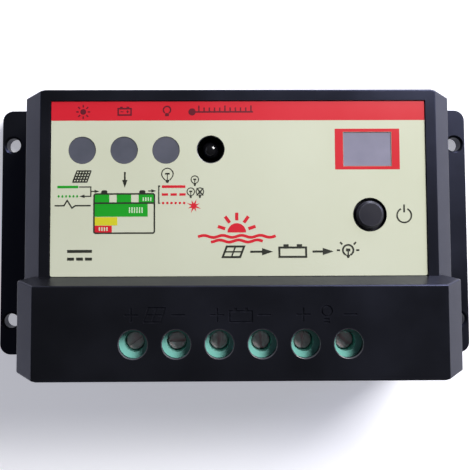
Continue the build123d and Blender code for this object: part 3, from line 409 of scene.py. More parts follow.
# ---- Indicator windows ---------------------------------------------------------------------
# Three discs of smoked acrylic, pressed into the panel from the front. Their faces are matt,
# so that they look grey when nothing is lit behind them.
def smoked(name, tone, shade):
    """Matt smoked acrylic."""
    material, tree, shader, position = finish_of(name)
    skin = place_effect(tree, grain, {"Position": position, "Grain": 5200.0, "Patch": 160.0})
    colour = mix_colour(tree, skin["Mottle"], (*tone, 1.0), (*shade, 1.0))
    rough = spread(tree, skin["Mottle"], 0.0, 1.0, 0.40, 0.52)
    connect(tree, shader, colour, rough, skin["Height"], 0.10)
    return material


indicator_smoke = smoked("indicator_smoke", tone=(0.078, 0.084, 0.108), shade=(0.098, 0.102, 0.135))
dress(indicator_smoke, "indicator_windows")


# ---- Display window ------------------------------------------------------------------------
# A rectangular pane of paler smoked acrylic over the display, pressed in like the discs. It
# is smoked less than they are, and looks lighter.
display_smoke = smoked("display_smoke", tone=(0.210, 0.205, 0.280), shade=(0.245, 0.238, 0.325))
dress(display_smoke, "display_window")


# ---- Red ink -------------------------------------------------------------------------------
# The inks are screen-printed on the film, each in a thin layer over the last. Red comes first:
# the band, the frame round the display, the load's bar, the low end of the gauge, a burst
# and a sun that rises over water.
MM = 0.001
label_low, label_high = [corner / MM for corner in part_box("label")]
ink_thickness = 0.02
ink_step = 0.004


def middle(name):
    """Middle of a node in the plan, in millimetres."""
    low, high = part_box(name)
    return Vector(((low.x + high.x) / 2, (low.y + high.y) / 2)) / MM


def box_outline(left, bottom, right, top):
    """A rectangle, as a shape of one outline."""
    return [[(left, bottom), (right, bottom), (right, top), (left, top)]]


def direction(degrees):
    """A vector of length one at an angle."""
    return Vector((math.cos(math.radians(degrees)), math.sin(math.radians(degrees))))


def arc_points(x, y, radius, start, end, count=24):
    """Points on an arc, from one angle to another in degrees."""
    turns = [math.radians(start + (end - start) * i / count) for i in range(count + 1)]
    return [(x + radius * math.cos(a), y + radius * math.sin(a)) for a in turns]


def pen(points, width, closed=False):
    """Outline of a pen line of the given width along the points."""
    path = [Vector(p) for p in points]
    left, right = [], []
    for i, point in enumerate(path):
        runs = []
        if closed or i:
            runs.append((point - path[i - 1]).normalized())
        if closed or i < len(path) - 1:
            runs.append((path[(i + 1) % len(path)] - point).normalized())
        along = (runs[0] + runs[-1]).normalized()
        across = Vector((-along.y, along.x))
        reach = width / 2 / max(0.5, across.dot(Vector((-runs[0].y, runs[0].x))))
        left.append(point + across * reach)
        right.append(point - across * reach)
    return [left, right] if closed else [left + right[::-1]]


def print_ink(name, level, shapes, material):
    """Makes one ink's mesh from shapes, each a list of closed outlines, at its level in the print.

    Neighbours in the list are set apart by a hair, so that overlapping tops don't coincide."""
    gathered = bmesh.new()
    for number, outlines in enumerate(shapes):
        curve = bpy.data.curves.new(name, "CURVE")
        curve.dimensions = "2D"
        curve.fill_mode = "BOTH"
        curve.extrude = ink_thickness * MM / 2
        for outline in outlines:
            spline = curve.splines.new("POLY")
            spline.points.add(len(outline) - 1)
            for point, (x, y) in zip(spline.points, outline):
                point.co = (x * MM, y * MM, 0.0, 1.0)
            spline.use_cyclic_u = True
        holder = bpy.data.objects.new(name, curve)
        mesh = bpy.data.meshes.new_from_object(holder)
        lift = (label_high.z + level * ink_step + (number % 7) * ink_step / 10) * MM
        mesh.transform(Matrix.Translation((0.0, 0.0, lift)))
        gathered.from_mesh(mesh)
        bpy.data.objects.remove(holder)
        bpy.data.curves.remove(curve)
        bpy.data.meshes.remove(mesh)
    bmesh.ops.remove_doubles(gathered, verts=gathered.verts, dist=1e-7)
    bmesh.ops.recalc_face_normals(gathered, faces=gathered.faces)
    finished = bpy.data.meshes.new(name)
    gathered.to_mesh(finished)
    gathered.free()
    finished.materials.append(material)
    piece = bpy.data.objects.new(name, finished)
    bpy.context.scene.collection.objects.link(piece)
    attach(piece, "controller")
    return piece


bat = middle("battery_led")
load = middle("load_led")
display = middle("display_window")
band_height = 4.85
load_bar_y = bat.y - 9.1
gauge_left = bat.x - 7.36
gauge_right = bat.x + 7.54
gauge_bottom = bat.y - 20.56
gauge_top = bat.y - 10.87
inset = 0.15
red_marks = [
    box_outline(label_low.x, label_high.y - band_height, label_high.x, label_high.y),
    [*box_outline(display.x - 8.1, display.y - 5.1, display.x + 8.05, display.y + 5.1),
     *box_outline(display.x - 6.05, display.y - 4.3, display.x + 6.05, display.y + 4.3)],
    pen([(load.x - 1.0, load_bar_y), (load.x + 4.8, load_bar_y)], 0.65),
    box_outline(gauge_left + inset, gauge_bottom + inset, gauge_left + 4.4, gauge_bottom + 1.85),
]
# a burst below the lamps, with every second spike long
burst = Vector((load.x + 6.9, bat.y - 13.9))
spikes = []
for i in range(16):
    length = (1.55 if i % 4 else 1.9) if i % 2 == 0 else 0.62
    spikes.append(burst + direction(22.5 * i + 68) * length)
red_marks.append([spikes])
# a rising sun with five rays over two waves, between the gauge and the button
dawn = Vector((bat.x + 27.9, bat.y - 20.5))
red_marks.append([arc_points(dawn.x, dawn.y, 2.3, 0, 180, 30)])
for angle in (18, 54, 90, 126, 162):
    red_marks.append(pen([dawn + direction(angle) * 3.0, dawn + direction(angle) * 4.9], 0.8))
for row, reach in ((0, 9.6), (1, 6.4)):
    wave = []
    for i in range(41):
        x = -reach + i * reach / 20
        wave.append((dawn.x + x, dawn.y - 0.95 - 1.15 * row + 0.26 * math.sin(x * 1.35 + row)))
    red_marks.append(pen(wave, 0.7))
ink_red = film("ink_red", tone=(0.610, 0.010, 0.022), shade=(0.660, 0.016, 0.034))
print_ink("print_red", 1, red_marks, ink_red)


# ---- Green ink -----------------------------------------------------------------------------
# Leaf-green ink for the bar that stands for good sunlight and for the four fields of a charged
# battery in the gauge.
sun = middle("sun_led")
source_bar_y = bat.y - 9.12
gauge_row = bat.y - 13.15
green_marks = [
    pen([(sun.x - 6.05, source_bar_y), (sun.x - 0.9, source_bar_y)], 0.62),
    box_outline(gauge_left + inset, gauge_row + 0.1, gauge_left + 3.75, gauge_top - inset),
    box_outline(gauge_left + 5.6, gauge_row + 0.1, gauge_left + 9.15, gauge_top - inset),
    box_outline(gauge_left + 11.0, gauge_row + 0.1, gauge_right - inset, gauge_top - inset),
    box_outline(gauge_left + inset, bat.y - 16.5, gauge_left + 13.25, gauge_row - 0.1),
]
ink_green = film("ink_green", tone=(0.008, 0.32, 0.014), shade=(0.014, 0.37, 0.022))
print_ink("print_green", 2, green_marks, ink_green)


# ---- Yellow ink ----------------------------------------------------------------------------
# Lemon-yellow ink for one field of the gauge, where the battery is half empty. It shares its
# level with the green, which it doesn't touch.
yellow_marks = [box_outline(gauge_left + inset, bat.y - 18.65, gauge_left + 5.75, bat.y - 16.6)]
ink_yellow = film("ink_yellow", tone=(0.62, 0.58, 0.02), shade=(0.68, 0.62, 0.03))
print_ink("print_yellow", 2, yellow_marks, ink_yellow)


# ---- Black ink -----------------------------------------------------------------------------
# Black line work over the colours: a solar panel, the frame of the gauge, lamps, wiring and
# arrows, and the signs for over-voltage, direct current and power.
def arrow(tail, tip, width, head):
    """A pen line that ends in a filled head."""
    tail, tip = Vector(tail), Vector(tip)
    along = (tip - tail).normalized()
    across = Vector((-along.y, along.x))
    neck = tip - along * head * 1.5
    return [
        pen([tail, neck + along * width], width),
        [[tip, neck + across * head / 2, neck - across * head / 2]],
    ]


def lamp(x, y, radius, width, foot):
    """Bulb outline with a filled foot and a filament."""
    neck = radius * 0.42
    glass = arc_points(x, y, radius, 228, -48, 28)
    return [
        pen([(x - neck, y - foot + 0.55)] + glass + [(x + neck, y - foot + 0.55)], width),
        [[(x - neck, y - foot + 0.6), (x + neck, y - foot + 0.6), (x + neck * 0.4, y - foot - 0.15),
          (x - neck * 0.4, y - foot - 0.15)]],
        pen([(x, y - foot + 0.5), (x, y - radius * 0.1)], width * 0.8),
        pen([(x - radius * 0.4, y + radius * 0.05), (x + radius * 0.4, y + radius * 0.05)], width * 1.6),
    ]


# solar panel: a slanted grid
panel_left = sun.x - 2.24
panel_width = 3.46
panel_low = bat.y - 7.89
panel_high = bat.y - 5.15
slant = 1.0 / 2.74
black_marks = []
for i in range(6):
    x = panel_left + i * panel_width / 5
    black_marks.append(pen([(x, panel_low), (x + (panel_high - panel_low) * slant, panel_high)], 0.34))
for i in range(5):
    y = panel_low + (panel_high - panel_low) * i / 4
    x = panel_left + (y - panel_low) * slant
    black_marks.append(pen([(x - 0.1, y), (x + panel_width + 0.1, y)], 0.34))

# battery gauge: a frame with cut corners, a line across, and two poles
cut = 0.3
black_marks += [
    pen([(gauge_left, gauge_bottom + cut), (gauge_left + cut, gauge_bottom),
         (gauge_right - cut, gauge_bottom), (gauge_right, gauge_bottom + cut),
         (gauge_right, gauge_top - cut), (gauge_right - cut, gauge_top),
         (gauge_left + cut, gauge_top), (gauge_left, gauge_top - cut)], 0.38, True),
    pen([(gauge_left, gauge_row), (gauge_right, gauge_row)], 0.4),
]
for x in (bat.x - 4.84, bat.x + 4.56):
    black_marks.append([[
        (x - 0.8, gauge_top), (x + 0.8, gauge_top), (x + 0.75, gauge_top + 0.6),
        (x + 0.5, gauge_top + 0.9), (x - 0.5, gauge_top + 0.9), (x - 0.75, gauge_top + 0.6),
    ]])

# wiring of the source side, the arrow down to the battery, and wiring of the load side
source_x = bat.x - 8.18
blink_y = bat.y - 11.43
load_x = bat.x + 8.62
black_marks += [
    pen([(sun.x - 0.7, source_bar_y), (source_x, source_bar_y), (source_x, blink_y),
         (sun.x + 1.2, blink_y)], 0.28),
    *arrow((source_x + 0.1, bat.y - 10.22), (source_x + 2.1, bat.y - 10.22), 0.26, 0.8),
    *arrow((sun.x + 1.6, blink_y), (sun.x - 0.6, blink_y), 0.26, 0.85),
    *arrow((bat.x + 0.21, bat.y - 5.44), (bat.x + 0.21, bat.y - 9.35), 0.42, 1.3),
    *arrow((bat.x + 6.0, bat.y - 10.15), (bat.x + 8.0, bat.y - 10.15), 0.26, 0.8),
    pen([(load_x + 0.35, bat.y - 8.95), (load_x, bat.y - 8.95), (load_x, bat.y - 13.2),
         (load_x + 0.35, bat.y - 13.2)], 0.3),
]

# lamps of the load: a large one and three small ones, the last of them crossed out
black_marks += [
    *lamp(load.x + 0.35, bat.y - 5.95, 1.42, 0.26, 2.05),
    *lamp(load.x + 7.15, bat.y - 7.35, 0.92, 0.24, 1.45),
    *lamp(load.x + 6.15, bat.y - 10.35, 0.92, 0.24, 1.45),
    *lamp(load.x + 8.4, bat.y - 10.35, 0.92, 0.24, 1.45),
    pen([(load.x + 7.6, bat.y - 9.5), (load.x + 9.25, bat.y - 11.3)], 0.3),
    pen([(load.x + 9.25, bat.y - 9.5), (load.x + 7.6, bat.y - 11.3)], 0.3),
]

# over-voltage: a level line with a pulse in it
pulse_y = bat.y - 13.75
black_marks.append(pen(
    [(sun.x - 6.7, pulse_y), (sun.x - 4.4, pulse_y), (sun.x - 3.6, pulse_y + 1.3),
     (sun.x - 2.4, pulse_y - 0.6), (sun.x - 1.6, pulse_y), (sun.x + 2.2, pulse_y)], 0.34,
))

# direct current: a line over three dashes
direct = Vector((sun.x - 3.5, sun.y - 26.2))
black_marks.append(pen([direct + Vector((0, 1.2)), direct + Vector((6.1, 1.2))], 0.72))
for i in range(3):
    dash_left = direct + Vector((2.2 * i, -0.7))
    black_marks.append(pen([dash_left, direct + Vector((2.2 * i + 1.7, -0.7))], 0.72))

# power sign beside the button
power = middle("button_cap") + Vector((8.5, -0.2))
black_marks += [
    pen(arc_points(power.x, power.y, 1.78, 116, 424, 40), 0.38),
    pen([power + Vector((0, 0.75)), power + Vector((0, 2.7))], 0.42),
]

# source, store and load in a row, with arrows between them and rays round the lamp
chain = Vector((bat.x + 24.4, bat.y - 25.25))
shine = chain + Vector((31.0, 0.3))
black_marks += [
    pen([chain + Vector(p) for p in ((0, -1.3), (4.3, -1.3), (5.3, 1.3), (1.0, 1.3))], 0.5, True),
    pen([chain + Vector((2.15, -1.3)), chain + Vector((3.15, 1.3))], 0.36),
    pen([chain + Vector((0.5, 0)), chain + Vector((4.8, 0))], 0.36),
    *arrow(chain + Vector((6.8, 0)), chain + Vector((12.4, 0)), 0.5, 1.8),
    pen([chain + Vector(p) for p in ((14.0, -1.3), (20.6, -1.3), (20.6, 1.0), (14.0, 1.0))], 0.5, True),
    box_outline(chain.x + 15.0, chain.y + 1.2, chain.x + 16.3, chain.y + 1.8),
    box_outline(chain.x + 18.3, chain.y + 1.2, chain.x + 19.6, chain.y + 1.8),
    *arrow(chain + Vector((22.2, 0)), chain + Vector((27.4, 0)), 0.5, 1.8),
    *lamp(shine.x, shine.y, 1.3, 0.44, 1.75),
]
for angle in (0, 45, 135, 180):
    black_marks.append(pen([shine + direction(angle) * 2.0, shine + direction(angle) * 2.8], 0.42))
ink_black = film("ink_black", tone=(0.020, 0.022, 0.016), shade=(0.030, 0.032, 0.024))
print_ink("print_black", 3, black_marks, ink_black)


# ---- Pale ink ------------------------------------------------------------------------------
# Pale green bars in three fields of the gauge, printed over the green and the red. Six tall
# bars mark the wide field, and four short ones each of the others.
pale_marks = []
bar_pitch = 0.62
bar_width = 0.3
for left, bottom, count, bar_height in (
    (gauge_left + 12.0, gauge_row + 0.5, 4, 0.9),
    (gauge_left + 8.6, bat.y - 15.6, 6, 1.4),
    (gauge_left + 1.2, gauge_bottom + 0.55, 4, 0.9),
):
    for i in range(count):
        x = left + bar_pitch * i
        pale_marks.append(box_outline(x, bottom, x + bar_width, bottom + bar_height))
ink_pale = film("ink_pale", tone=(0.55, 0.70, 0.48), shade=(0.60, 0.74, 0.52))
print_ink("print_pale", 4, pale_marks, ink_pale)


# ---- Maroon ink ----------------------------------------------------------------------------
# Dark maroon signs on the red band, one over each window and one over the sensor: a sun, a
# battery, a lamp and a thermometer with its scale.
def disc_outline(x, y, radius, count=40):
    """A disc, as a shape of one outline."""
    return [[Vector((x, y)) + direction(360 * i / count) * radius for i in range(count)]]


sensor = middle("temperature_sensor")
band_y = sun.y + 9.75
ray_middle = sun + Vector((0.2, 9.6))
scale_left = sensor.x - 2.9
stem_y = band_y - 0.2
maroon_marks = []
for i in range(8):
    maroon_marks.append(pen([ray_middle + direction(45 * i) * r for r in (1.1, 1.75)], 0.34))
maroon_marks += [
    disc_outline(sun.x + 0.2, band_y - 0.15, 0.72),
    pen([(bat.x - 1.5, band_y - 0.95), (bat.x + 1.7, band_y - 0.95),
         (bat.x + 1.7, band_y + 0.65), (bat.x - 1.5, band_y + 0.65)], 0.38, True),
    box_outline(bat.x - 1.05, band_y + 0.8, bat.x - 0.35, band_y + 1.15),
    box_outline(bat.x + 0.55, band_y + 0.8, bat.x + 1.25, band_y + 1.15),
    pen([(bat.x - 0.9, band_y - 0.15), (bat.x - 0.2, band_y - 0.15)], 0.22),
    pen([(bat.x + 0.5, band_y - 0.15), (bat.x + 1.2, band_y - 0.15)], 0.22),
    pen([(bat.x + 0.85, band_y - 0.5), (bat.x + 0.85, band_y + 0.2)], 0.22),
    pen(arc_points(load.x + 0.25, band_y + 0.3, 0.9, -55, 235), 0.36),
    box_outline(load.x - 0.22, band_y - 1.25, load.x + 0.72, band_y - 0.5),
    pen([(sensor.x - 4.4, stem_y), (sensor.x + 10.6, stem_y)], 0.4),
    disc_outline(sensor.x - 4.6, stem_y, 0.9),
]
for i in range(11):
    x = scale_left + 1.3 * i
    tick = 0.9 if i % 5 else 1.4
    maroon_marks.append(pen([(x, band_y), (x, band_y + tick)], 0.34))
ink_maroon = film("ink_maroon", tone=(0.110, 0.006, 0.014), shade=(0.140, 0.008, 0.020))
print_ink("print_maroon", 4, maroon_marks, ink_maroon)


# ---- Broken lines on the label -------------------------------------------------------------
# Rows of printed dots and dashes beside the source and the load symbols. They stand for a
# lamp that blinks quickly or slowly.
def shape_tree(name, inputs):
    """A new geometry tree with a mesh in, a mesh out and the named inputs."""
    tree = bpy.data.node_groups.new(name, "GeometryNodeTree")
    tree.is_modifier = True
    tree.interface.new_socket("Geometry", in_out="INPUT", socket_type="NodeSocketGeometry")
    for title, (kind, default) in inputs.items():
        socket = tree.interface.new_socket(title, in_out="INPUT", socket_type="NodeSocket" + kind)
        if default is not None:
            socket.default_value = default
    tree.interface.new_socket("Geometry", in_out="OUTPUT", socket_type="NodeSocketGeometry")
    return tree, tree.nodes.new("NodeGroupInput").outputs, tree.nodes.new("NodeGroupOutput").inputs


def finish_tree(tree, made, material, out):
    """Ends a geometry tree: instances made real, and the material set."""
    real = add(tree, "GeometryNodeRealizeInstances", {0: made})
    dressed = add(tree, "GeometryNodeSetMaterial", {"Geometry": real.outputs[0], "Material": material})
    tree.links.new(dressed.outputs[0], out[0])


def made_by(name, tree, settings, body, place=(0.0, 0.0, 0.0), points=((0.0, 0.0, 0.0),)):
    """Runs a geometry tree on a mesh of points, and keeps the result as a plain mesh."""
    base = bpy.data.meshes.new(name)
    base.from_pydata(points, [], [])
    piece = bpy.data.objects.new(name, base)
    bpy.context.scene.collection.objects.link(piece)
    modifier = piece.modifiers.new("shape", "NODES")
    modifier.node_group = tree
    for socket in tree.interface.items_tree:
        if socket.in_out == "INPUT" and socket.name in settings:
            modifier[socket.identifier] = settings[socket.name]
    seen = piece.evaluated_get(bpy.context.evaluated_depsgraph_get())
    mesh = bpy.data.meshes.new_from_object(seen)
    piece.modifiers.clear()
    piece.data = mesh
    loose = bmesh.new()
    loose.from_mesh(mesh)
    bmesh.ops.remove_doubles(loose, verts=loose.verts, dist=1e-7)
    bmesh.ops.recalc_face_normals(loose, faces=loose.faces)
    bmesh.ops.translate(loose, verts=loose.verts, vec=place)
    for face in loose.faces:
        face.smooth = True
    loose.to_mesh(mesh)
    loose.free()
    mesh.set_sharp_from_angle(angle=math.radians(40))
    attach(piece, body)
    return piece


broken_line, given, out = shape_tree("broken_line", {
    "Count": ("Int", 3), "Pitch": ("Float", 0.002), "Length": ("Float", 0.001),
    "Width": ("Float", 0.0005), "Thickness": ("Float", 0.00002), "Round": ("Bool", False),
    "Material": ("Material", None),
})
step = add(broken_line, "CombineXYZ", {"X": given["Pitch"]})
spots = add(broken_line, "GeometryNodeMeshLine", {"Count": given["Count"], "Offset": step.outputs[0]})
size = add(broken_line, "CombineXYZ", {"X": given["Length"], "Y": given["Width"], "Z": given["Thickness"]})
dash = add(broken_line, "GeometryNodeMeshCube", {"Size": (1.0, 1.0, 1.0)})
dot = add(broken_line, "GeometryNodeMeshCylinder", {"Vertices": 20, "Radius": 0.5, "Depth": 1.0})
shape = add(broken_line, "GeometryNodeSwitch", {
    "Switch": given["Round"], "False": dash.outputs["Mesh"], "True": dot.outputs["Mesh"],
}, input_type="GEOMETRY")
row = add(broken_line, "GeometryNodeInstanceOnPoints", {
    "Points": spots.outputs[0], "Instance": shape.outputs[0], "Scale": size.outputs[0],
})
finish_tree(broken_line, row.outputs[0], given["Material"], out)

for name, ink, x, y, count, pitch, length, width, is_round in (
    ("green_dots", ink_green, sun.x - 5.7, blink_y, 6, 0.91, 0.5, 0.62, True),
    ("red_dashes", ink_red, load.x - 0.25, bat.y - 11.05, 3, 2.17, 1.55, 0.6, False),
    ("red_dots", ink_red, load.x - 0.7, bat.y - 13.16, 6, 1.04, 0.62, 0.6, True),
):
    made_by(
        name, broken_line,
        {"Count": count, "Pitch": pitch * MM, "Length": length * MM, "Width": width * MM,
         "Thickness": ink_thickness * MM, "Round": is_round, "Material": ink},
        "controller", (x * MM, y * MM, (label_high.z + 3 * ink_step) * MM),
    )


# ---- Solder joints -------------------------------------------------------------------------
# A lead that passes through the board ends in a small cone of solder underneath, drawn up
# the lead as it cooled. The thick shunt wires are wider than lead_ends expects, so each of
# their ends has three cones that overlap.
solder = metal(
    "solder", bright=(0.70, 0.70, 0.70), dull=(0.50, 0.50, 0.50), gloss=(0.15, 0.35), bump=0.3
)
cones, given, out = shape_tree("solder_cones", {
    "Tip": ("Float", 0.0004), "Foot": ("Float", 0.0009), "Height": ("Float", 0.0008),
    "Spread": ("Float", 0.12), "Seed": ("Int", 3), "Material": ("Material", None),
})
cone = add(cones, "GeometryNodeMeshCone", {
    "Vertices": 16, "Side Segments": 2, "Radius Top": given["Foot"], "Radius Bottom": given["Tip"],
    "Depth": given["Height"],
})
least = add(cones, "Math", [1.0, given["Spread"]], operation="SUBTRACT")
number = add(cones, "GeometryNodeInputIndex")
turn = add(cones, "Math", [number.outputs[0], given["Seed"]], operation="MULTIPLY")
wobble = add(cones, "Math", [turn.outputs[0]], operation="SINE")
share = add(cones, "MapRange", [wobble.outputs[0], -1.0, 1.0, least.outputs[0], 1.0])
placed = add(cones, "GeometryNodeInstanceOnPoints", {
    "Points": given["Geometry"], "Instance": cone.outputs["Mesh"], "Scale": share.outputs[0],
})
finish_tree(cones, placed.outputs[0], given["Material"], out)

board_low, board_high = [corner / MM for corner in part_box("main_board")]


def lead_ends(name):
    """Where a node's leads come out under the board, one point for each lead."""
    found = []
    node = nodes[name]
    for vertex in node.data.vertices:
        point = (node.matrix_world @ vertex.co) / MM
        if point.z < board_low.z - 0.2:
            for group in found:
                if (group[0] - point.xy).length < 1.1:
                    group.append(point.xy)
                    break
            else:
                found.append([point.xy])
    return [
        ((min(p.x for p in g) + max(p.x for p in g)) / 2, (min(p.y for p in g) + max(p.y for p in g)) / 2)
        for g in found
    ]


joint_height = 0.8
joint_points = [
    (x * MM, y * MM, (board_low.z - joint_height) * MM)
    for name in (
        "led_leads", "sensor_leads", "display_pins", "main_capacitors", "small_capacitors",
        "shunt_wires",
    )
    for x, y in lead_ends(name)
]
made_by("solder_joints", cones, {"Material": solder}, "controller", points=joint_points)


# ---- Vias ----------------------------------------------------------------------------------
# Plated holes closed with tin, which join the tracks of the board's two sides. They lie on a
# grid, scattered over the whole board and almost flush with it.
via_count = 130
via_grid = 1.27
margin_x = 4.0
margin_y = 3.0
via_points = []
for i in range(via_count):
    x = board_low.x + margin_x + (board_high.x - board_low.x - 2 * margin_x) * ((i * 0.6180339) % 1.0)
    y = board_low.y + margin_y + (board_high.y - board_low.y - 2 * margin_y) * ((i * 0.7548777) % 1.0)
    via_points.append((
        round(x / via_grid) * via_grid * MM, round(y / via_grid) * via_grid * MM,
        (board_high.z - 0.02) * MM,
    ))
made_by(
    "vias", cones, {"Tip": 0.0004, "Foot": 0.00036, "Height": 0.00004, "Material": solder},
    "controller", points=sorted(set(via_points)),
)


# ---- Diode bands ---------------------------------------------------------------------------
# The maker of a diode prints a pale band across its cathode end. Here there are four short
# marks round each diode instead of one band, because islands takes each corner of a body as
# a piece by itself. Some of the marks stand past the ends of the body.
def islands(name, gap):
    """Plan boxes, in millimetres, of a node's separate pieces that stand further apart than gap."""
    found = []
    node = nodes[name]
    for vertex in node.data.vertices:
        x, y = (node.matrix_world @ vertex.co).xy / MM
        near = [b for b in found if b[0] - gap < x < b[2] + gap and b[1] - gap < y < b[3] + gap]
        merged = [min([x] + [b[0] for b in near]), min([y] + [b[1] for b in near]),
                  max([x] + [b[2] for b in near]), max([y] + [b[3] for b in near])]
        found = [b for b in found if b not in near] + [merged]
    return found


def print_on(name, shapes, top):
    """Prints pale ink shapes on a flat top inside the controller."""
    piece = print_ink(name, 0, shapes, ink_pale)
    piece.data.transform(Matrix.Translation((0.0, 0.0, top - label_high.z * MM)))


bands = [
    box_outline(x0 + 0.45, y0 + 0.3, x0 + 1.15, y1 - 0.3)
    for x0, y0, x1, y1 in islands("diodes", 1.0)
]
print_on("diode_bands", bands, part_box("diodes")[1].z)


# ---- Chip dot ------------------------------------------------------------------------------
# A small printed dot on the processor, at the corner of its first leg. It shows which way
# round the chip is soldered.
chip_low, chip_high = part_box("microcontroller")
dot_inset = 1.2
dot_shape = disc_outline(chip_low.x / MM + dot_inset, chip_low.y / MM + dot_inset, 0.42, 16)
print_on("chip_dot", [dot_shape], chip_high.z)


# ---- Capacitor stripes ---------------------------------------------------------------------
# A pale stripe is printed down each small capacitor's sleeve on the side of its minus lead.
# islands takes every facet of a large can as a piece by itself, so fine pale lines stand all
# round the large ones instead. The faces of both point towards the can.
stripe_gap = 1.2
print_height = 0.015
for name in ("main_capacitors", "small_capacitors"):
    stripe_low = board_high.z + stripe_gap
    stripe_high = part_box(name)[1].z / MM - stripe_gap
    stripe = bmesh.new()
    for x0, y0, x1, y1 in islands(name, 0.3):
        axis = Vector(((x0 + x1) / 2, (y0 + y1) / 2))
        radius = (x1 - x0) / 2 + print_height
        edge_points = [axis + direction(angle) * radius for angle in range(160, 201, 5)]
        lower = [stripe.verts.new((p.x * MM, p.y * MM, stripe_low * MM)) for p in edge_points]
        upper = [stripe.verts.new((p.x * MM, p.y * MM, stripe_high * MM)) for p in edge_points]
        for i in range(len(edge_points) - 1):
            stripe.faces.new((lower[i], upper[i], upper[i + 1], lower[i + 1]))
    stripe_mesh = bpy.data.meshes.new(f"{name}_stripes")
    stripe.to_mesh(stripe_mesh)
    stripe.free()
    stripe_mesh.materials.append(ink_pale)
    stripes = bpy.data.objects.new(f"{name}_stripes", stripe_mesh)
    bpy.context.scene.collection.objects.link(stripes)
    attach(stripes, "controller")


# ---- Screw threads -------------------------------------------------------------------------
# The rolled thread of the terminal screws, a fine ridge round each shank. One turn of it
# lifts the cage by its pitch.
thread, given, out = shape_tree("thread_ridge", {
    "Turns": ("Float", 12.0), "Pitch": ("Float", 0.0005), "Radius": ("Float", 0.0014),
    "Ridge": ("Float", 0.00012), "Material": ("Material", None),
})
rise = add(thread, "Math", [given["Turns"], given["Pitch"]], operation="MULTIPLY")
helix = add(thread, "GeometryNodeCurveSpiral", {
    "Resolution": 20, "Rotations": given["Turns"], "Start Radius": given["Radius"],
    "End Radius": given["Radius"], "Height": rise.outputs[0],
})
section = add(thread, "GeometryNodeCurvePrimitiveCircle", {"Resolution": 5, "Radius": given["Ridge"]})
ridge = add(thread, "GeometryNodeCurveToMesh", {
    "Curve": helix.outputs[0], "Profile Curve": section.outputs[0], "Fill Caps": True,
})
finish_tree(thread, ridge.outputs[0], given["Material"], out)
thread_start = 0.0003
for i in range(1, 7):
    low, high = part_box(f"terminal_screw_{i}")
    centre = (low + high) / 2
    made_by(
        f"screw_thread_{i}", thread, {"Material": screw_steel, "Turns": 11.0},
        f"screw_{i}", (centre.x, centre.y, low.z + thread_start),
    )


# ---- Lips of the holes ---------------------------------------------------------------------
# The moulding tool leaves a small rounded lip round the driver holes in the terminal cover
# and round the sensor's hole. Its black is painted much paler than the housing's, a painted
# highlight where the lip catches the light. Each lip sits just inside the mouth of its hole.
lips, given, out = shape_tree("hole_lips", {
    "Radius": ("Float", 0.0035), "Lip": ("Float", 0.00012), "Material": ("Material", None),
})
hole_edge = add(lips, "GeometryNodeCurvePrimitiveCircle", {"Resolution": 48, "Radius": given["Radius"]})
bead = add(lips, "GeometryNodeCurvePrimitiveCircle", {"Resolution": 8, "Radius": given["Lip"]})
lip = add(lips, "GeometryNodeCurveToMesh", {"Curve": hole_edge.outputs[0], "Profile Curve": bead.outputs[0]})
copies = add(lips, "GeometryNodeInstanceOnPoints", {"Points": given["Geometry"], "Instance": lip.outputs[0]})
finish_tree(lips, copies.outputs[0], given["Material"], out)
# painted highlight: the same black plastic as the housing, made many times paler
lip_highlight_paint = moulded(
    "lip_painted_highlight", tone=(0.050, 0.050, 0.058), shade=(0.070, 0.070, 0.082), polish=(0.16, 0.16, 0.18),
    gloss=(0.22, 0.32), wear=0.4, bump=0.05,
)
lip_radius = 0.00022
lip_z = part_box("front_housing")[1].z - 1.05 * lip_radius
screw_middles = [sum(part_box(f"terminal_screw_{i}"), Vector()) / 2 for i in range(1, 7)]
made_by(
    "driver_hole_lips", lips, {"Material": lip_highlight_paint, "Lip": lip_radius, "Radius": 0.00356},
    "controller", points=[(p.x, p.y, lip_z) for p in screw_middles],
)
made_by(
    "sensor_hole_lip", lips, {"Material": lip_highlight_paint, "Lip": lip_radius, "Radius": 0.00350},
    "controller", points=[(sensor.x * MM, sensor.y * MM, (label_high.z - 0.4) * MM)],
)


# ---- Lights --------------------------------------------------------------------------------
# A large soft lamp stands above the upper right corner and a cool one lies low on the right.
# A weak lamp lights the left, and a low one behind catches the far edges.
def area_light(name, place, size, power, tint):
    """A square soft light that faces the middle of the controller."""
    lamp_data = bpy.data.lights.new(name, "AREA")
    lamp_data.size = size
    lamp_data.energy = power
    lamp_data.color = tint
    holder = bpy.data.objects.new(name, lamp_data)
    holder.location = place
    holder.rotation_mode = "QUATERNION"
    aim = Vector((0.0, 0.0, 0.01)) - Vector(place)
    holder.rotation_quaternion = aim.to_track_quat("-Z", "Y")
    bpy.context.scene.collection.objects.link(holder)


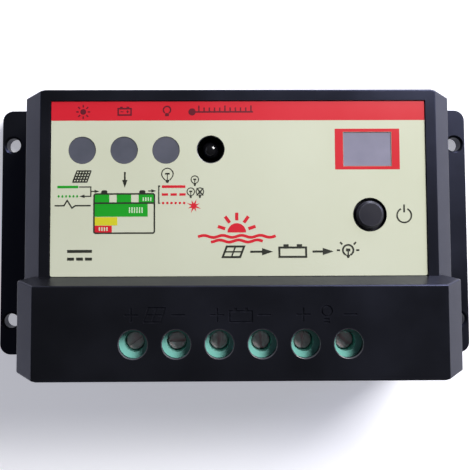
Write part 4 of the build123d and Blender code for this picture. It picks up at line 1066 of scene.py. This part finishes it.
area_light("key_light", (0.40, 0.42, 0.52), size=0.34, power=8.2, tint=(1.0, 0.99, 0.98))
area_light("side_light", (0.62, 0.34, 0.13), size=0.34, power=2.8, tint=(0.62, 0.64, 1.0))
area_light("fill_light", (-0.60, 0.20, 0.30), size=0.40, power=0.25, tint=(0.70, 0.74, 1.0))
area_light("back_light", (0.24, 0.75, 0.08), size=0.34, power=4.0, tint=(0.78, 0.80, 1.0))
world = bpy.data.worlds.new("studio")
world.use_nodes = True
sky = world.node_tree.nodes["Background"].inputs
sky["Color"].default_value = (0.95, 0.96, 1.0, 1.0)
sky["Strength"].default_value = 0.085
bpy.context.scene.world = world
bpy.context.scene.view_settings.view_transform = "Standard"


# ---- Table ---------------------------------------------------------------------------------
# The controller lies on its back on a broad white table of painted board. The paint is matt,
# and glows a little, so that shadows on it stay soft.
table_white, tree, shader, position = finish_of("table_white", roughness=0.9)
skin = place_effect(tree, grain, {"Position": position, "Grain": 300.0, "Patch": 4.0})
colour = mix_colour(tree, skin["Mottle"], (0.88, 0.88, 0.91, 1.0), (0.90, 0.90, 0.93, 1.0))
connect(tree, shader, colour)
shader.inputs["Emission Color"].default_value = (0.90, 0.91, 1.0, 1.0)
shader.inputs["Emission Strength"].default_value = 0.42
table_mesh = bpy.data.meshes.new("table_top")
table_reach = 3.0
table_z = cad_low.z - 0.0002
corners = [(-table_reach, -table_reach), (table_reach, -table_reach), (table_reach, table_reach),
           (-table_reach, table_reach)]
table_mesh.from_pydata([(x, y, table_z) for x, y in corners], [], [(0, 1, 2, 3)])
table_mesh.materials.append(table_white)
table_top = bpy.data.objects.new("table_top", table_mesh)
bpy.context.scene.collection.objects.link(table_top)


# ---- Camera --------------------------------------------------------------------------------
# The camera looks down on the front from close by, a little tilted. Its shift only frames
# the controller, and everything in view is sharp.
camera_data = bpy.data.cameras.new("camera")
camera_data.sensor_width = 36.0
camera_data.lens = 48.55
camera_data.shift_x = 0.0461
camera_data.shift_y = -0.0942
camera_data.clip_start = 0.01
camera_data.clip_end = 20.0
camera = bpy.data.objects.new("camera", camera_data)
camera.rotation_mode = "XYZ"
camera.rotation_euler = (0.0523, -0.0083, -0.0035)
camera.location = (-0.00765, 0.00174, 0.18555)
bpy.context.scene.collection.objects.link(camera)
bpy.context.scene.camera = camera
